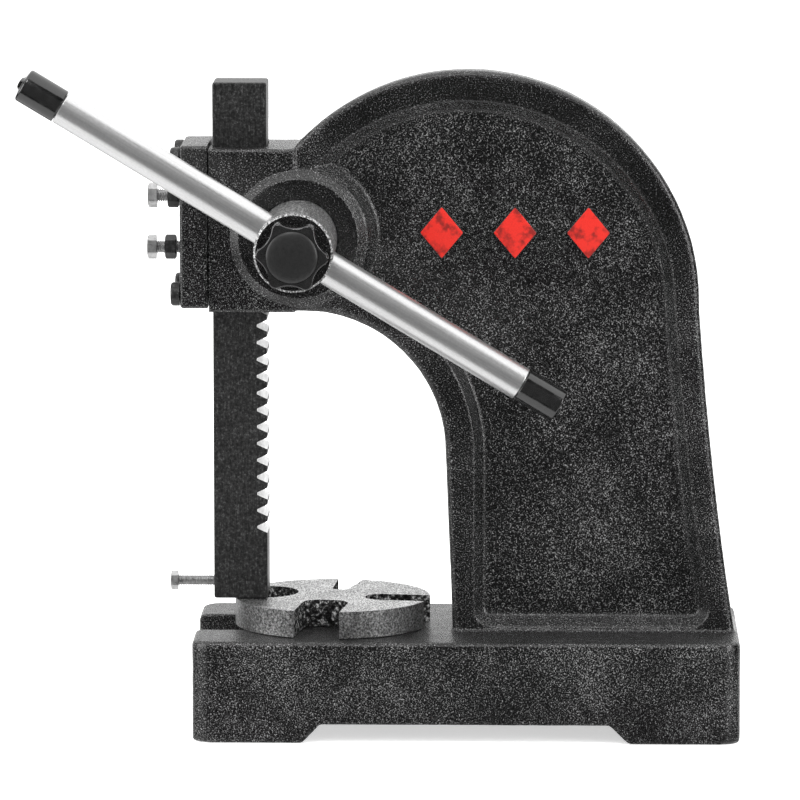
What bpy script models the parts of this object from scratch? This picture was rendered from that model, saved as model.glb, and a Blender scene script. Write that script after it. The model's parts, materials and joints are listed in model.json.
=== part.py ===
"""An arbor press: a forked iron base and column, a square rack ram, and a lever bar through a pinion shaft.

Metres, +Z up. +X runs from the front of the press to its back, and the lever is on the -Y side.
The origin is the middle of the rear foot's underside, so z = 0 is the bench.
"""

import math

import bmesh
import bpy

# Fits and finishing
gap = 0.0003
overrun = 0.004
edge_break = 0.0008
weld_depth = 0.0001

# Base
base_front_reach = 0.0214
base_back_reach = 0.2350
base_width = 0.1100
base_height = 0.0475
base_corner_radius = 0.0095
base_edge_radius = 0.0022
foot_length = 0.0520
foot_height = 0.0085
front_foot_run = 0.0080
rear_foot_run = 0.0105
fork_slot_width = 0.0400
base_wall = 0.0100
base_deck = 0.0130
base_rib = 0.0140
core_draft = 0.0015
core_corner_radius = 0.0080

# Height of the pinion's axis, from which the head's heights are measured
axis_height = 0.2338

# Column, its outline measured from the ram's axis
column_thickness = 0.0460
column_edge_radius = 0.0030
crown_radius = 0.1087
crown_centre_out = 0.1067
crown_centre_drop = 0.0333
crown_lean = 0.0032
throat_radius = 0.0667
throat_centre_out = 0.0300
throat_top_drop = 0.0348
throat_foot_out = 0.1002
column_foot_out = 0.2329
back_bow = 0.00175
column_root_depth = 0.0120

# Recess in each side of the column
web_thickness = 0.0310
recess_flare = 0.0045
crown_rim = 0.0157
throat_rim = 0.0180
recess_sill = 0.0068
recess_corner_radius = 0.0035
boss_land = 0.0373

# Head
head_width = 0.0500
head_front_out = 0.0143
head_back_out = 0.0264
head_drop = 0.0351
head_rise = 0.0416
boss_radius = 0.0318
boss_face_radius = 0.0280
boss_height = 0.0040

# Ram and its rack
ram_width = 0.0254
ram_rest_gap = 0.0005
ram_top_rise = 0.0717
ram_corner = 0.0012
socket_radius = 0.0050
socket_depth = 0.0240
rack_foot_margin = 0.0342
rack_top_rise = 0.0150
pinion_tooth_count = 14
tooth_module = 0.00254
pressure_angle = math.radians(25)
rack_gap_width = 0.0033
rack_dedendum = 0.0023
backlash = 0.00035
tip_clearance = 0.0004

# Pinion shaft, its bearings and its end fastening
hub_radius = 0.0183
hub_front_out = 0.0855
hub_chamfer = 0.0010
far_journal_radius = 0.0120
bush_flange_radius = 0.0235
bush_flange_thickness = 0.0030
washer_radius = 0.0170
washer_thickness = 0.0025

# Lever bar
bar_radius = 0.0080
bar_length = 0.2880
bar_out = 0.0635
bar_slope = math.radians(31.1)
bar_shift = -0.0018
bar_spigot_radius = 0.0060
cap_length = 0.0200
cap_edge = 0.0010
nub_radius = 0.0034
nub_height = 0.0020

# Clamp knob and its stud
stud_radius = 0.0040
knob_lobe_count = 6
knob_lobe_radius = 0.0168
knob_waist_radius = 0.0134
knob_neck_radius = 0.0085
knob_neck_length = 0.0025
knob_thickness = 0.0130
knob_edge = 0.0018
knob_first_lobe = math.radians(-3)
knob_cap_radius = 0.0117
knob_cap_recess = 0.0016
knob_cap_rise = 0.0022
stud_grip = 0.0095

# Face plate, gib strip and their screws
plate_thickness = 0.0130
plate_drop = 0.0334
plate_rise = 0.0431
gib_thickness = 0.0025
gib_width = 0.0240
gib_margin = 0.0030
m6_radius = 0.0030
m8_radius = 0.0040
plate_screw_spread = 0.0370
plate_screw_rises = (0.0363, -0.0271)
plate_screw_bite = 0.0140
button_radius = 0.0056
button_height = 0.0042
button_edge = 0.0012
socket_flats = 0.0040
button_socket_depth = 0.0020
gib_screw_rises = {"upper": 0.0174, "lower": -0.0070}
gib_head_outs = {"upper": 0.0160, "lower": 0.0164}
gib_nut_outs = {"upper": 0.0014, "lower": 0.0027}
m6_flats = 0.0100
m6_head_height = 0.0043
m6_nut_height = 0.0054
m6_hexagon_turn = math.radians(23)
m8_head_radius = 0.0065
m8_head_height = 0.0080
m8_socket_flats = 0.0060
m8_bite = 0.0160

# Tool screw in the ram's foot
m5_radius = 0.0025
m5_flats = 0.0080
m5_head_height = 0.0035
tool_screw_rise = 0.0066
tool_screw_out = 0.0210
tool_screw_length = 0.0245

# Anvil plate and its pin
anvil_radius = 0.0462
anvil_thickness = 0.0127
anvil_out = 0.0430
anvil_edge = 0.0006
pin_radius = 0.0060
pin_seat_depth = 0.0220
pin_socket_depth = 0.0070
wide_notch = {"angle": 164, "end": 0.0180, "rim_width": 0.0320, "end_width": 0.0320, "corner": 0.0155}
front_notch = {"angle": 262, "end": 0.0125, "rim_width": 0.0216, "end_width": 0.0216, "corner": 0.0085}
back_notch = {"angle": 81, "end": 0.0172, "rim_width": 0.0128, "end_width": 0.0070, "corner": 0.0022}
right_notch = {"angle": -9, "end": 0.0158, "rim_width": 0.0165, "end_width": 0.0165, "corner": 0.0080}

# How finely round shapes are divided
round_steps = 64
small_round_steps = 24
screw_steps = 20
corner_steps = 6

# Places worked out from the sizes above
ram_x = -(base_back_reach - foot_length / 2)
ram_half = ram_width / 2
pitch_radius = pinion_tooth_count * tooth_module / 2
pinion_x = ram_x + ram_half - tooth_module + pitch_radius
rack_pitch = math.pi * tooth_module
ram_foot_height = base_height + gap + anvil_thickness + ram_rest_gap
tool_screw_height = ram_foot_height + tool_screw_rise
rack_low_height = ram_foot_height + rack_foot_margin
rack_gap_count = int((axis_height + rack_top_rise - rack_low_height) / rack_pitch) + 1
ram_top_height = axis_height + ram_top_rise
head_underside = axis_height - head_drop
head_top = axis_height + head_rise
plate_underside = axis_height - plate_drop
plate_top = axis_height + plate_rise
gib_screw_heights = {position: axis_height + rise for position, rise in gib_screw_rises.items()}
throat_top_height = axis_height - throat_top_drop
crown_centre_height = axis_height - crown_centre_drop
column_half = column_thickness / 2
web_half = web_thickness / 2
head_half = head_width / 2
base_half = base_width / 2
anvil_x = ram_x + anvil_out
head_front_x = ram_x - head_front_out
plate_back_x = head_front_x - gap
plate_front_x = plate_back_x - plate_thickness
channel_half = ram_half + gap
boss_face_y = head_half + boss_height
throat_centre = (ram_x + throat_centre_out, throat_top_height - throat_radius)
crown_centre = (ram_x + crown_centre_out, crown_centre_height)
pinion_centre = (pinion_x, axis_height)

PLACES = {
    "X": lambda a, b, level: (level, a, b),
    "Y": lambda a, b, level: (a, level, b),
    "Z": lambda a, b, level: (a, b, level),
}


def clear_scene():
    for old in list(bpy.data.objects):
        bpy.data.objects.remove(old)


def arc(centre, radius, start, end, steps):
    """Points on a circle from one angle to another, in radians."""
    turns = [start + (end - start) * step / steps for step in range(steps + 1)]
    return [(centre[0] + radius * math.cos(turn), centre[1] + radius * math.sin(turn)) for turn in turns]


def ring(radius, steps, centre=(0, 0), start=0):
    """The points of a whole circle."""
    return arc(centre, radius, start, start + 2 * math.pi, steps)[:-1]


def hexagon(across_flats, turn=0):
    return ring(across_flats / 2 / math.cos(math.pi / 6), 6, start=turn)


def box_outline(low_a, high_a, low_b, high_b):
    return [(low_a, low_b), (high_a, low_b), (high_a, high_b), (low_a, high_b)]


def bowed(start, end, bow, steps):
    """Points from start to end on a shallow curve that bows to the left of its way."""
    length = math.dist(start, end)
    left = (-(end[1] - start[1]) / length, (end[0] - start[0]) / length)
    points = []
    for step in range(steps + 1):
        share = step / steps
        rise = 4 * bow * share * (1 - share)
        points.append(tuple(start[i] + (end[i] - start[i]) * share + left[i] * rise for i in (0, 1)))
    return points


def grown(outline, distance):
    """The outline moved outwards by a distance, or inwards by a negative one, with mitred corners."""
    count = len(outline)
    area = sum(
        outline[i][0] * outline[(i + 1) % count][1] - outline[(i + 1) % count][0] * outline[i][1]
        for i in range(count)
    )
    side = math.copysign(1, area)
    normals = []
    for i in range(count):
        a, b = outline[i], outline[(i + 1) % count]
        length = math.dist(a, b)
        normals.append((side * (b[1] - a[1]) / length, -side * (b[0] - a[0]) / length))
    moved = []
    for i in range(count):
        before, after = normals[i - 1], normals[i]
        reach = distance / (1 + before[0] * after[0] + before[1] * after[1])
        moved.append(tuple(outline[i][k] + (before[k] + after[k]) * reach for k in (0, 1)))
    return moved


def circles_meet(first, first_radius, second, second_radius, upper):
    """The upper or lower point where two circles cross."""
    between = math.dist(first, second)
    along = (between**2 + first_radius**2 - second_radius**2) / (2 * between)
    across = math.sqrt(first_radius**2 - along**2)
    unit = ((second[0] - first[0]) / between, (second[1] - first[1]) / between)
    foot = (first[0] + unit[0] * along, first[1] + unit[1] * along)
    candidates = [(foot[0] - s * unit[1] * across, foot[1] + s * unit[0] * across) for s in (1, -1)]
    return max(candidates, key=lambda p: p[1]) if upper else min(candidates, key=lambda p: p[1])


def angle_at(centre, point):
    return math.atan2(point[1] - centre[1], point[0] - centre[0])


def material(name, colour, roughness, metallic):
    made = bpy.data.materials.new(name)
    made.use_nodes = True
    shader = made.node_tree.nodes["Principled BSDF"]
    shader.inputs["Base Color"].default_value = (*colour, 1)
    shader.inputs["Roughness"].default_value = roughness
    shader.inputs["Metallic"].default_value = metallic
    made.diffuse_color = (*colour, 1)
    return made


LOOKS = {
    "black_casting": ((0.022, 0.022, 0.023), 0.48, 0.0),
    "dark_steel": ((0.075, 0.075, 0.078), 0.42, 0.9),
    "grey_steel": ((0.30, 0.30, 0.31), 0.38, 0.95),
    "bright_steel": ((0.72, 0.72, 0.73), 0.24, 1.0),
    "black_screw": ((0.018, 0.018, 0.019), 0.36, 0.6),
    "zinc": ((0.62, 0.62, 0.60), 0.30, 1.0),
    "milled_iron": ((0.42, 0.42, 0.42), 0.45, 0.85),
    "black_plastic": ((0.012, 0.012, 0.013), 0.26, 0.0),
    "bronze": ((0.55, 0.40, 0.20), 0.38, 0.95),
}


def lofted(name, sections, along, look=None, at=(0, 0, 0), tilt=0):
    """A closed solid through outlines with equally many points, each at a level along an axis.

    It is placed at a point, and turned about the Y axis by tilt.
    """
    shape = bmesh.new()
    rings = [[shape.verts.new(PLACES[along](a, b, level)) for a, b in outline] for level, outline in sections]
    for low, high in zip(rings, rings[1:]):
        for i in range(len(low)):
            shape.faces.new((low[i - 1], low[i], high[i], high[i - 1]))
    shape.faces.new(rings[0])
    shape.faces.new(rings[-1])
    bmesh.ops.recalc_face_normals(shape, faces=shape.faces)
    mesh = bpy.data.meshes.new(name)
    shape.to_mesh(mesh)
    shape.free()
    mesh.shade_smooth()
    mesh.set_sharp_from_angle(angle=math.radians(30))
    made = bpy.data.objects.new(name, mesh)
    bpy.context.scene.collection.objects.link(made)
    made.location = at
    made.rotation_euler = (0, tilt, 0)
    if look:
        mesh.materials.append(material(name, *LOOKS[look]))
    else:
        made.hide_render = True
        made.display_type = "WIRE"
    return made


def prism(name, outline, low, high, along, look=None, at=(0, 0, 0), tilt=0, edge=0):
    """An outline drawn out between two levels, its end edges chamfered by edge."""
    if not edge:
        return lofted(name, [(low, outline), (high, outline)], along, look, at, tilt)
    inner = grown(outline, -edge)
    sections = [(low, inner), (low + edge, outline), (high - edge, outline), (high, inner)]
    return lofted(name, sections, along, look, at, tilt)


def turned(name, profile, along, look=None, at=(0, 0, 0), tilt=0, steps=round_steps):
    """A solid of revolution about an axis, from pairs of a radius and a distance along the axis."""
    return lofted(name, [(d, ring(r, steps)) for r, d in profile], along, look, at, tilt)


def combine(body, tool, operation):
    step = body.modifiers.new(tool.name, "BOOLEAN")
    step.operation = operation
    step.solver = "EXACT"
    step.object = tool


def cut(body, *tools):
    for tool in tools:
        combine(body, tool, "DIFFERENCE")


def join(body, *tools):
    for tool in tools:
        combine(body, tool, "UNION")


def rounded_edge_sections(outline, half, radius, steps):
    """Sections of a slab between -half and half whose rim edges have a radius."""
    upper = []
    for step in range(steps + 1):
        turn = math.pi / 2 * step / steps
        inset = radius * (1 - math.cos(turn))
        upper.append((half - radius + radius * math.sin(turn), grown(outline, -inset)))
    return [(-level, points) for level, points in reversed(upper)] + upper


def rounded_box(low_a, high_a, low_b, high_b, radius):
    """A rectangle with round corners."""
    quarter = math.pi / 2
    corners = [
        (high_a - radius, high_b - radius),
        (low_a + radius, high_b - radius),
        (low_a + radius, low_b + radius),
        (high_a - radius, low_b + radius),
    ]
    points = []
    for turn, centre in enumerate(corners):
        points += arc(centre, radius, turn * quarter, (turn + 1) * quarter, corner_steps)
    return points


def base_plan():
    """The base seen from above, with round corners."""
    front, back = ram_x - base_front_reach, ram_x + base_back_reach
    return rounded_box(front, back, -base_half, base_half, base_corner_radius)


def base_side():
    """The base seen from the side: two feet with a low arch between them."""
    front, back = ram_x - base_front_reach, ram_x + base_back_reach
    rise = foot_height / 2
    rear_start = back - foot_length - rear_foot_run
    front_end = front + foot_length
    return [
        (front - overrun, 0),
        (front_end, 0),
        (front_end + front_foot_run, foot_height),
        *arc((rear_start, rise), rise, math.pi / 2, math.pi / 4, 2),
        (rear_start + rear_foot_run * 3 / 4, rise / 2),
        (back - foot_length, 0),
        (back + overrun, 0),
        (back + overrun, base_height + overrun),
        (front - overrun, base_height + overrun),
    ]


def back_edge(inset, foot_height_z):
    """The column's back edge, from the crown down to a height, moved in by a distance."""
    top = (crown_centre[0] + crown_radius - inset, crown_centre_height)
    foot = (ram_x + column_foot_out - inset, base_height)
    points = bowed(top, foot, -back_bow, 8)
    slope = (foot[0] - points[-2][0]) / (points[-2][1] - foot[1])
    points = [p for p in points if p[1] > foot_height_z]
    last = points[-1]
    return points + [(last[0] + (last[1] - foot_height_z) * slope, foot_height_z)]


def column_side(lift):
    """The column and the neck of the head seen from the side, with the crown's arc lifted by a distance."""
    root = base_height - column_root_depth
    arc_centre = (crown_centre[0], crown_centre_height + lift)
    head_middle = ram_x + head_back_out / 2
    neck = head_top - edge_break
    meet = math.pi - math.asin((head_top + edge_break * 3 - arc_centre[1]) / crown_radius)
    throat_foot_x = ram_x + throat_foot_out
    throat_back = (throat_centre[0] + throat_radius, throat_centre[1])
    return [
        (head_middle, throat_top_height + edge_break),
        (head_middle, neck),
        (ram_x + head_back_out - edge_break, neck),
        *arc(arc_centre, crown_radius, meet, 0, 36)[:-1],
        *back_edge(0, root),
        (throat_foot_x, root),
        (throat_foot_x, base_height),
        throat_back,
        *arc(throat_centre, throat_radius, 0, math.pi / 2, 18)[1:],
        (ram_x + head_back_out - edge_break, throat_top_height),
    ]


def column_sections():
    """The column's outlines from side to side, with rounded rims. The crown leans down to the far side."""
    sections = []
    for level, _ in rounded_edge_sections(column_side(0), column_half, column_edge_radius, 2):
        lift = crown_lean * (column_half - level) / column_thickness
        shape = dict(rounded_edge_sections(column_side(lift), column_half, column_edge_radius, 2))
        sections.append((level, shape[level]))
    return sections


def recess_side():
    """The recess's floor seen from the side: inside the crown, the back, the throat rim and the boss."""
    crown = crown_radius - crown_rim
    throat = throat_radius + throat_rim
    floor_sill = base_height + recess_sill
    top = circles_meet(crown_centre, crown, pinion_centre, boss_land, upper=True)
    low = circles_meet(throat_centre, throat, pinion_centre, boss_land, upper=True)
    back = back_edge(crown_rim, floor_sill)
    r = recess_corner_radius
    front_x = throat_centre[0] + throat
    back_x = back[-1][0]
    back = [p for p in back if p[1] > floor_sill + r]
    crown_start = angle_at(crown_centre, top)
    boss_start, boss_end = angle_at(pinion_centre, low), angle_at(pinion_centre, top)
    return [
        *arc(crown_centre, crown, crown_start, 0, 30)[:-1],
        *back,
        *arc((back_x - r, floor_sill + r), r, 0, -math.pi / 2, corner_steps),
        *arc((front_x + r, floor_sill + r), r, -math.pi / 2, -math.pi, corner_steps),
        *arc(throat_centre, throat, 0, angle_at(throat_centre, low), 14)[:-1],
        *arc(pinion_centre, boss_land, boss_start, boss_end, 14)[:-1],
    ]


def recess_tool(name, side):
    floor = recess_side()
    mouth = grown(floor, recess_flare)
    levels = [(web_half, floor), (column_half, mouth), (column_half + overrun, mouth)]
    return lofted(name, [(side * level, points) for level, points in levels], "Y")


def core_tool(name, side):
    """One of the two hollows in the base's underside, with a rib between them."""
    front = anvil_x + pin_radius + base_wall
    back = ram_x + base_back_reach - base_wall
    low, high = sorted((side * base_rib / 2, side * (base_half - base_wall)))
    mouth = rounded_box(front, back, low, high, core_corner_radius)
    return lofted(name, [(-overrun, mouth), (base_height - base_deck, grown(mouth, -core_draft))], "Z")


def frame_casting():
    """Base, column, head and boss in one casting, with its cored underside, slot, channel and bores."""
    plan = base_plan()
    crest = []
    for step in range(3):
        turn = math.pi / 2 * step / 2
        inset = base_edge_radius * (1 - math.cos(turn))
        crest.append((base_height - base_edge_radius * (1 - math.sin(turn)), grown(plan, -inset)))
    body = lofted("frame_casting", [(-overrun, plan), *crest], "Z", "black_casting")
    reach = base_half + overrun
    combine(body, prism("base_side_tool", base_side(), -reach, reach, "Y"), "INTERSECT")
    head = box_outline(head_front_x, ram_x + head_back_out, head_underside, head_top)
    boss = [
        (boss_face_radius - edge_break, -boss_face_y),
        (boss_face_radius, edge_break - boss_face_y),
        (boss_radius, -head_half),
        (boss_radius, head_half),
        (boss_face_radius, boss_face_y - edge_break),
        (boss_face_radius - edge_break, boss_face_y),
    ]
    at_pinion = (pinion_x, 0, axis_height)
    join(
        body,
        lofted("column_tool", column_sections(), "Y"),
        prism("head_tool", head, -head_half, head_half, "Y", edge=edge_break),
        turned("boss_tool", boss, "Y", at=at_pinion),
    )
    cut(body, recess_tool("near_recess_tool", -1), recess_tool("far_recess_tool", 1))
    cut(body, core_tool("near_core_tool", -1), core_tool("far_core_tool", 1))

    slot_half = fork_slot_width / 2
    slot = [
        (ram_x - base_front_reach - overrun, -slot_half),
        *arc((ram_x, 0), slot_half, -math.pi / 2, math.pi / 2, 16),
        (ram_x - base_front_reach - overrun, slot_half),
    ]
    channel = box_outline(head_front_x - overrun, ram_x + channel_half, -channel_half, channel_half)
    near_bore = hub_radius + gap
    far_bore = pinion_tip_radius() + backlash + gap
    step_y = -(channel_half + weld_depth + gap)
    bore = [
        (near_bore, -boss_face_y - overrun),
        (near_bore, step_y),
        (far_bore, step_y + weld_depth),
        (far_bore, boss_face_y + overrun),
    ]
    cut(
        body,
        prism("slot_tool", slot, -overrun, base_height + overrun, "Z"),
        prism("channel_tool", channel, head_underside - overrun, head_top + overrun, "Z"),
        turned("bore_tool", bore, "Y", at=at_pinion),
    )
    seat = [(pin_radius + gap, base_height - pin_seat_depth - gap), (pin_radius + gap, base_height + overrun)]
    cut(body, turned("pin_seat_tool", seat, "Z", at=(anvil_x, 0, 0), steps=small_round_steps))
    for number, (y, z) in enumerate(plate_screw_places(), start=1):
        tap = [(m6_radius + gap, head_front_x - overrun), (m6_radius + gap, head_front_x + plate_screw_bite)]
        cut(body, turned(f"tap_tool_{number}", tap, "X", at=(0, y, z), steps=screw_steps))
    return body


def pinion_tip_radius():
    return pitch_radius + rack_dedendum - tip_clearance


def plate_screw_places():
    half = plate_screw_spread / 2
    return [(y, axis_height + rise) for rise in plate_screw_rises for y in (-half, half)]


def face_plate():
    """The front plate, with a shallow pocket for the gib strip and holes for six screws."""
    outline = box_outline(-head_half, head_half, plate_underside, plate_top)
    body = prism("face_plate", outline, plate_front_x, plate_back_x, "X", "black_casting", edge=edge_break)
    half = gib_width / 2 + gap
    pocket = box_outline(-half, half, plate_underside + gib_margin, plate_top - gib_margin)
    cut(body, prism("gib_pocket_tool", pocket, gib_front_x() - gap, plate_back_x + overrun, "X"))
    hole = [(m6_radius + gap, plate_front_x - overrun), (m6_radius + gap, plate_back_x + overrun)]
    places = plate_screw_places() + [(0, z) for z in gib_screw_heights.values()]
    for number, (y, z) in enumerate(places, start=1):
        cut(body, turned(f"plate_hole_tool_{number}", hole, "X", at=(0, y, z), steps=screw_steps))


def gib_front_x():
    return ram_x - channel_half - gib_thickness


def gib_strip():
    half = gib_width / 2
    margin = gib_margin + gap
    outline = box_outline(-half, half, plate_underside + margin, plate_top - margin)
    prism("gib_strip", outline, gib_front_x(), ram_x - channel_half, "X", "grey_steel")


def face_plate_screws():
    """Four low button screws with hexagon sockets."""
    head_end = plate_front_x - gap
    for number, (y, z) in enumerate(plate_screw_places(), start=1):
        profile = [
            (button_radius - button_edge, head_end - button_height),
            (button_radius, head_end - button_height + button_edge),
            (button_radius, head_end),
            (m6_radius, head_end),
            (m6_radius, head_front_x + plate_screw_bite - gap),
        ]
        place = (0, y, z)
        name = f"face_plate_screw_{number}"
        screw = turned(name, profile, "X", "black_screw", at=place, steps=small_round_steps)
        front = head_end - button_height
        low, high = front - overrun, front + button_socket_depth
        cut(screw, prism(f"{name}_tool", hexagon(socket_flats), low, high, "X", at=place))


def gib_screws():
    """Two hexagon screws that press on the gib strip through the face plate, each with a locknut."""
    for position, z in gib_screw_heights.items():
        shank_start = plate_front_x - gib_head_outs[position] + m6_head_height
        shank_end = gib_front_x() - gap
        head = hexagon(m6_flats, m6_hexagon_turn)
        name = f"gib_screw_{position}"
        low, high = shank_start - m6_head_height, shank_start
        screw = prism(name, head, low, high, "X", "zinc", at=(0, 0, z), edge=edge_break / 2)
        shank = [(m6_radius, shank_start - m6_head_height / 2), (m6_radius, shank_end)]
        join(screw, turned(f"{name}_tool", shank, "X", at=(0, 0, z), steps=screw_steps))
        name = f"gib_locknut_{position}"
        nut_end = plate_front_x - gib_nut_outs[position]
        low, high = nut_end - m6_nut_height, nut_end
        nut = prism(name, head, low, high, "X", "black_screw", at=(0, 0, z), edge=edge_break / 2)
        hole = [(m6_radius + gap, low - overrun), (m6_radius + gap, high + overrun)]
        cut(nut, turned(f"{name}_tool", hole, "X", at=(0, 0, z), steps=screw_steps))


def ram():
    """The square ram: rack teeth in its back face, a tool socket in its foot and a tapped side hole."""
    back = ram_half
    root = back - tooth_module - rack_dedendum
    slope = math.tan(pressure_angle)
    mouth = rack_gap_width / 2 + tooth_module * slope
    bottom = rack_gap_width / 2 - rack_dedendum * slope
    outline = [
        (-back, ram_foot_height + ram_corner),
        (ram_corner - back, ram_foot_height),
        (back - ram_corner, ram_foot_height),
        (back, ram_foot_height + ram_corner),
    ]
    for number in range(rack_gap_count):
        z = rack_low_height + number * rack_pitch
        outline += [(back, z - mouth), (root, z - bottom), (root, z + bottom), (back, z + mouth)]
    outline += [
        (back, ram_top_height - ram_corner),
        (back - ram_corner, ram_top_height),
        (ram_corner - back, ram_top_height),
        (-back, ram_top_height - ram_corner),
    ]
    outline = [(a, z - axis_height) for a, z in outline]
    place = (ram_x, 0, axis_height)
    body = prism("ram", outline, -ram_half, ram_half, "Y", "dark_steel", at=place)
    foot = ram_foot_height - axis_height
    socket = [(socket_radius, foot - overrun), (socket_radius, foot + socket_depth)]
    tap = [(m5_radius + gap, -ram_half - overrun), (m5_radius + gap, 0)]
    cut(
        body,
        turned("socket_tool", socket, "Z", at=place, steps=small_round_steps),
        turned("tap_tool", tap, "X", at=(ram_x, 0, tool_screw_height), steps=screw_steps),
    )


def tool_screw():
    place = (ram_x, 0, tool_screw_height)
    head_start = -ram_half - tool_screw_out
    head = hexagon(m5_flats, m6_hexagon_turn)
    head_end = head_start + m5_head_height
    screw = prism("tool_screw", head, head_start, head_end, "X", "zinc", at=place, edge=edge_break / 2)
    shank = [(m5_radius, head_start + m5_head_height / 2), (m5_radius, head_end + tool_screw_length)]
    join(screw, turned("tool_screw_tool", shank, "X", at=place, steps=screw_steps))


def pinion_outline():
    """The toothed section seen from the end. Its teeth stand in the gaps of the rack at rest."""
    base_radius = pitch_radius * math.cos(pressure_angle)
    tip = pinion_tip_radius()
    root = pitch_radius - tooth_module - tip_clearance
    tooth_width = rack_gap_width - backlash
    involute = math.tan(pressure_angle) - pressure_angle
    radii = [base_radius + (tip - base_radius) * step / 4 for step in range(5)]
    half_angles = []
    for radius in radii:
        turn = math.acos(base_radius / radius)
        half_angles.append(tooth_width / (2 * pitch_radius) + involute - (math.tan(turn) - turn))
    flank = [(root, half_angles[0]), *zip(radii, half_angles)]
    first = (rack_low_height - axis_height) / pitch_radius
    outline = []
    for tooth in range(pinion_tooth_count):
        centre = math.pi - first + tooth * 2 * math.pi / pinion_tooth_count
        turns = [(radius, centre - half) for radius, half in flank]
        turns += [(radius, centre + half) for radius, half in reversed(flank)]
        outline += [(radius * math.cos(turn), radius * math.sin(turn)) for radius, turn in turns]
    return outline


def pinion_shaft():
    """Hub, near journal, pinion teeth and far journal in one turned piece, bored for the bar and the stud."""
    place = (pinion_x, 0, axis_height)
    inner_end = -channel_half
    hub = [
        (hub_radius - hub_chamfer, -hub_front_out),
        (hub_radius, hub_chamfer - hub_front_out),
        (hub_radius, inner_end),
    ]
    body = turned("pinion_shaft", hub, "Y", "grey_steel", at=place)
    journal = [(far_journal_radius, inner_end - overrun), (far_journal_radius, shaft_end_y())]
    join(
        body,
        prism("teeth_tool", pinion_outline(), inner_end - weld_depth, ram_half + gap, "Y", at=place),
        turned("journal_tool", journal, "Y", at=place, steps=round_steps // 2),
    )
    reach = hub_radius + overrun
    cross = [(bar_radius + gap, -reach), (bar_radius + gap, reach)]
    bar_place = (pinion_x, -bar_out, axis_height)
    stud = [(stud_radius + gap, -hub_front_out - overrun), (stud_radius + gap, -bar_out)]
    end = [(m8_radius + gap, shaft_end_y() - m8_bite), (m8_radius + gap, shaft_end_y() + overrun)]
    cut(
        body,
        turned("cross_bore_tool", cross, "X", at=bar_place, tilt=bar_slope, steps=round_steps // 2),
        turned("stud_bore_tool", stud, "Y", at=place, steps=screw_steps),
        turned("end_bore_tool", end, "Y", at=place, steps=screw_steps),
    )


def bush_face_y():
    return boss_face_y + gap + bush_flange_thickness


def shaft_end_y():
    return bush_face_y() + gap


def bearing_bush():
    """A flanged bush in the far bore, which is wide enough to pass the teeth."""
    place = (pinion_x, 0, axis_height)
    outer = pinion_tip_radius() + backlash
    inner_end = ram_half + gap * 2
    profile = [
        (outer, inner_end),
        (outer, boss_face_y + gap),
        (bush_flange_radius, boss_face_y + gap),
        (bush_flange_radius, bush_face_y()),
    ]
    body = turned("bearing_bush", profile, "Y", "bronze", at=place, steps=round_steps // 2)
    bore = [(far_journal_radius + gap, inner_end - overrun), (far_journal_radius + gap, bush_face_y() + overrun)]
    cut(body, turned("bush_bore_tool", bore, "Y", at=place, steps=round_steps // 2))


def shaft_end_fastening():
    """Washer and socket screw on the shaft's far end."""
    place = (pinion_x, 0, axis_height)
    low = shaft_end_y() + gap
    high = low + washer_thickness
    disc = [(washer_radius, low), (washer_radius, high)]
    washer = turned("shaft_end_washer", disc, "Y", "zinc", at=place, steps=round_steps // 2)
    hole = [(m8_radius + gap, low - overrun), (m8_radius + gap, high + overrun)]
    cut(washer, turned("washer_tool", hole, "Y", at=place, steps=screw_steps))
    head = high + gap
    end = head + m8_head_height
    profile = [
        (m8_radius, shaft_end_y() - m8_bite + gap),
        (m8_radius, head),
        (m8_head_radius, head),
        (m8_head_radius, end - edge_break),
        (m8_head_radius - edge_break, end),
    ]
    screw = turned("shaft_end_screw", profile, "Y", "black_screw", at=place, steps=small_round_steps)
    socket = hexagon(m8_socket_flats)
    cut(screw, prism("end_socket_tool", socket, end - m8_head_height / 2, end + overrun, "Y", at=place))


def lever_bar():
    """The bar with its turned-down ends, and a cap on each."""
    place = (pinion_x, -bar_out, axis_height)
    low, high = bar_shift - bar_length / 2, bar_shift + bar_length / 2
    shoulder = cap_length + gap
    spigot = cap_length - cap_edge * 2
    profile = [
        (bar_spigot_radius, low + cap_length - spigot),
        (bar_spigot_radius, low + shoulder),
        (bar_radius, low + shoulder),
        (bar_radius, high - shoulder),
        (bar_spigot_radius, high - shoulder),
        (bar_spigot_radius, high - cap_length + spigot),
    ]
    turned("handle_bar", profile, "X", "bright_steel", at=place, tilt=bar_slope, steps=round_steps // 2)
    for side, end, way in (("left", low, 1), ("right", high, -1)):
        profile = [(bar_radius - cap_edge, 0), (bar_radius, cap_edge), (bar_radius, cap_length)]
        if side == "left":
            profile = [(nub_radius / 3, -nub_height), (nub_radius, 0)] + profile
        profile = [(radius, end + way * distance) for radius, distance in profile]
        name = f"bar_cap_{side}"
        cap = turned(name, profile, "X", "black_plastic", at=place, tilt=bar_slope, steps=round_steps // 2)
        inner = bar_spigot_radius + gap
        floor = cap_length - spigot - gap
        bore = [(inner, end + way * floor), (inner, end + way * (cap_length + overrun))]
        tool = turned(f"{name}_tool", bore, "X", at=place, tilt=bar_slope, steps=small_round_steps)
        cut(cap, tool)


def knob_outline(share):
    """The six-lobed outline of the knob, its size times a share."""
    points = []
    for step in range(knob_lobe_count * 12):
        turn = 2 * math.pi * step / (knob_lobe_count * 12)
        lobe = (1 + math.cos(knob_lobe_count * (turn - knob_first_lobe))) / 2
        radius = (knob_waist_radius + (knob_lobe_radius - knob_waist_radius) * lobe) * share
        points.append((radius * math.cos(turn), radius * math.sin(turn)))
    return points


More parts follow.
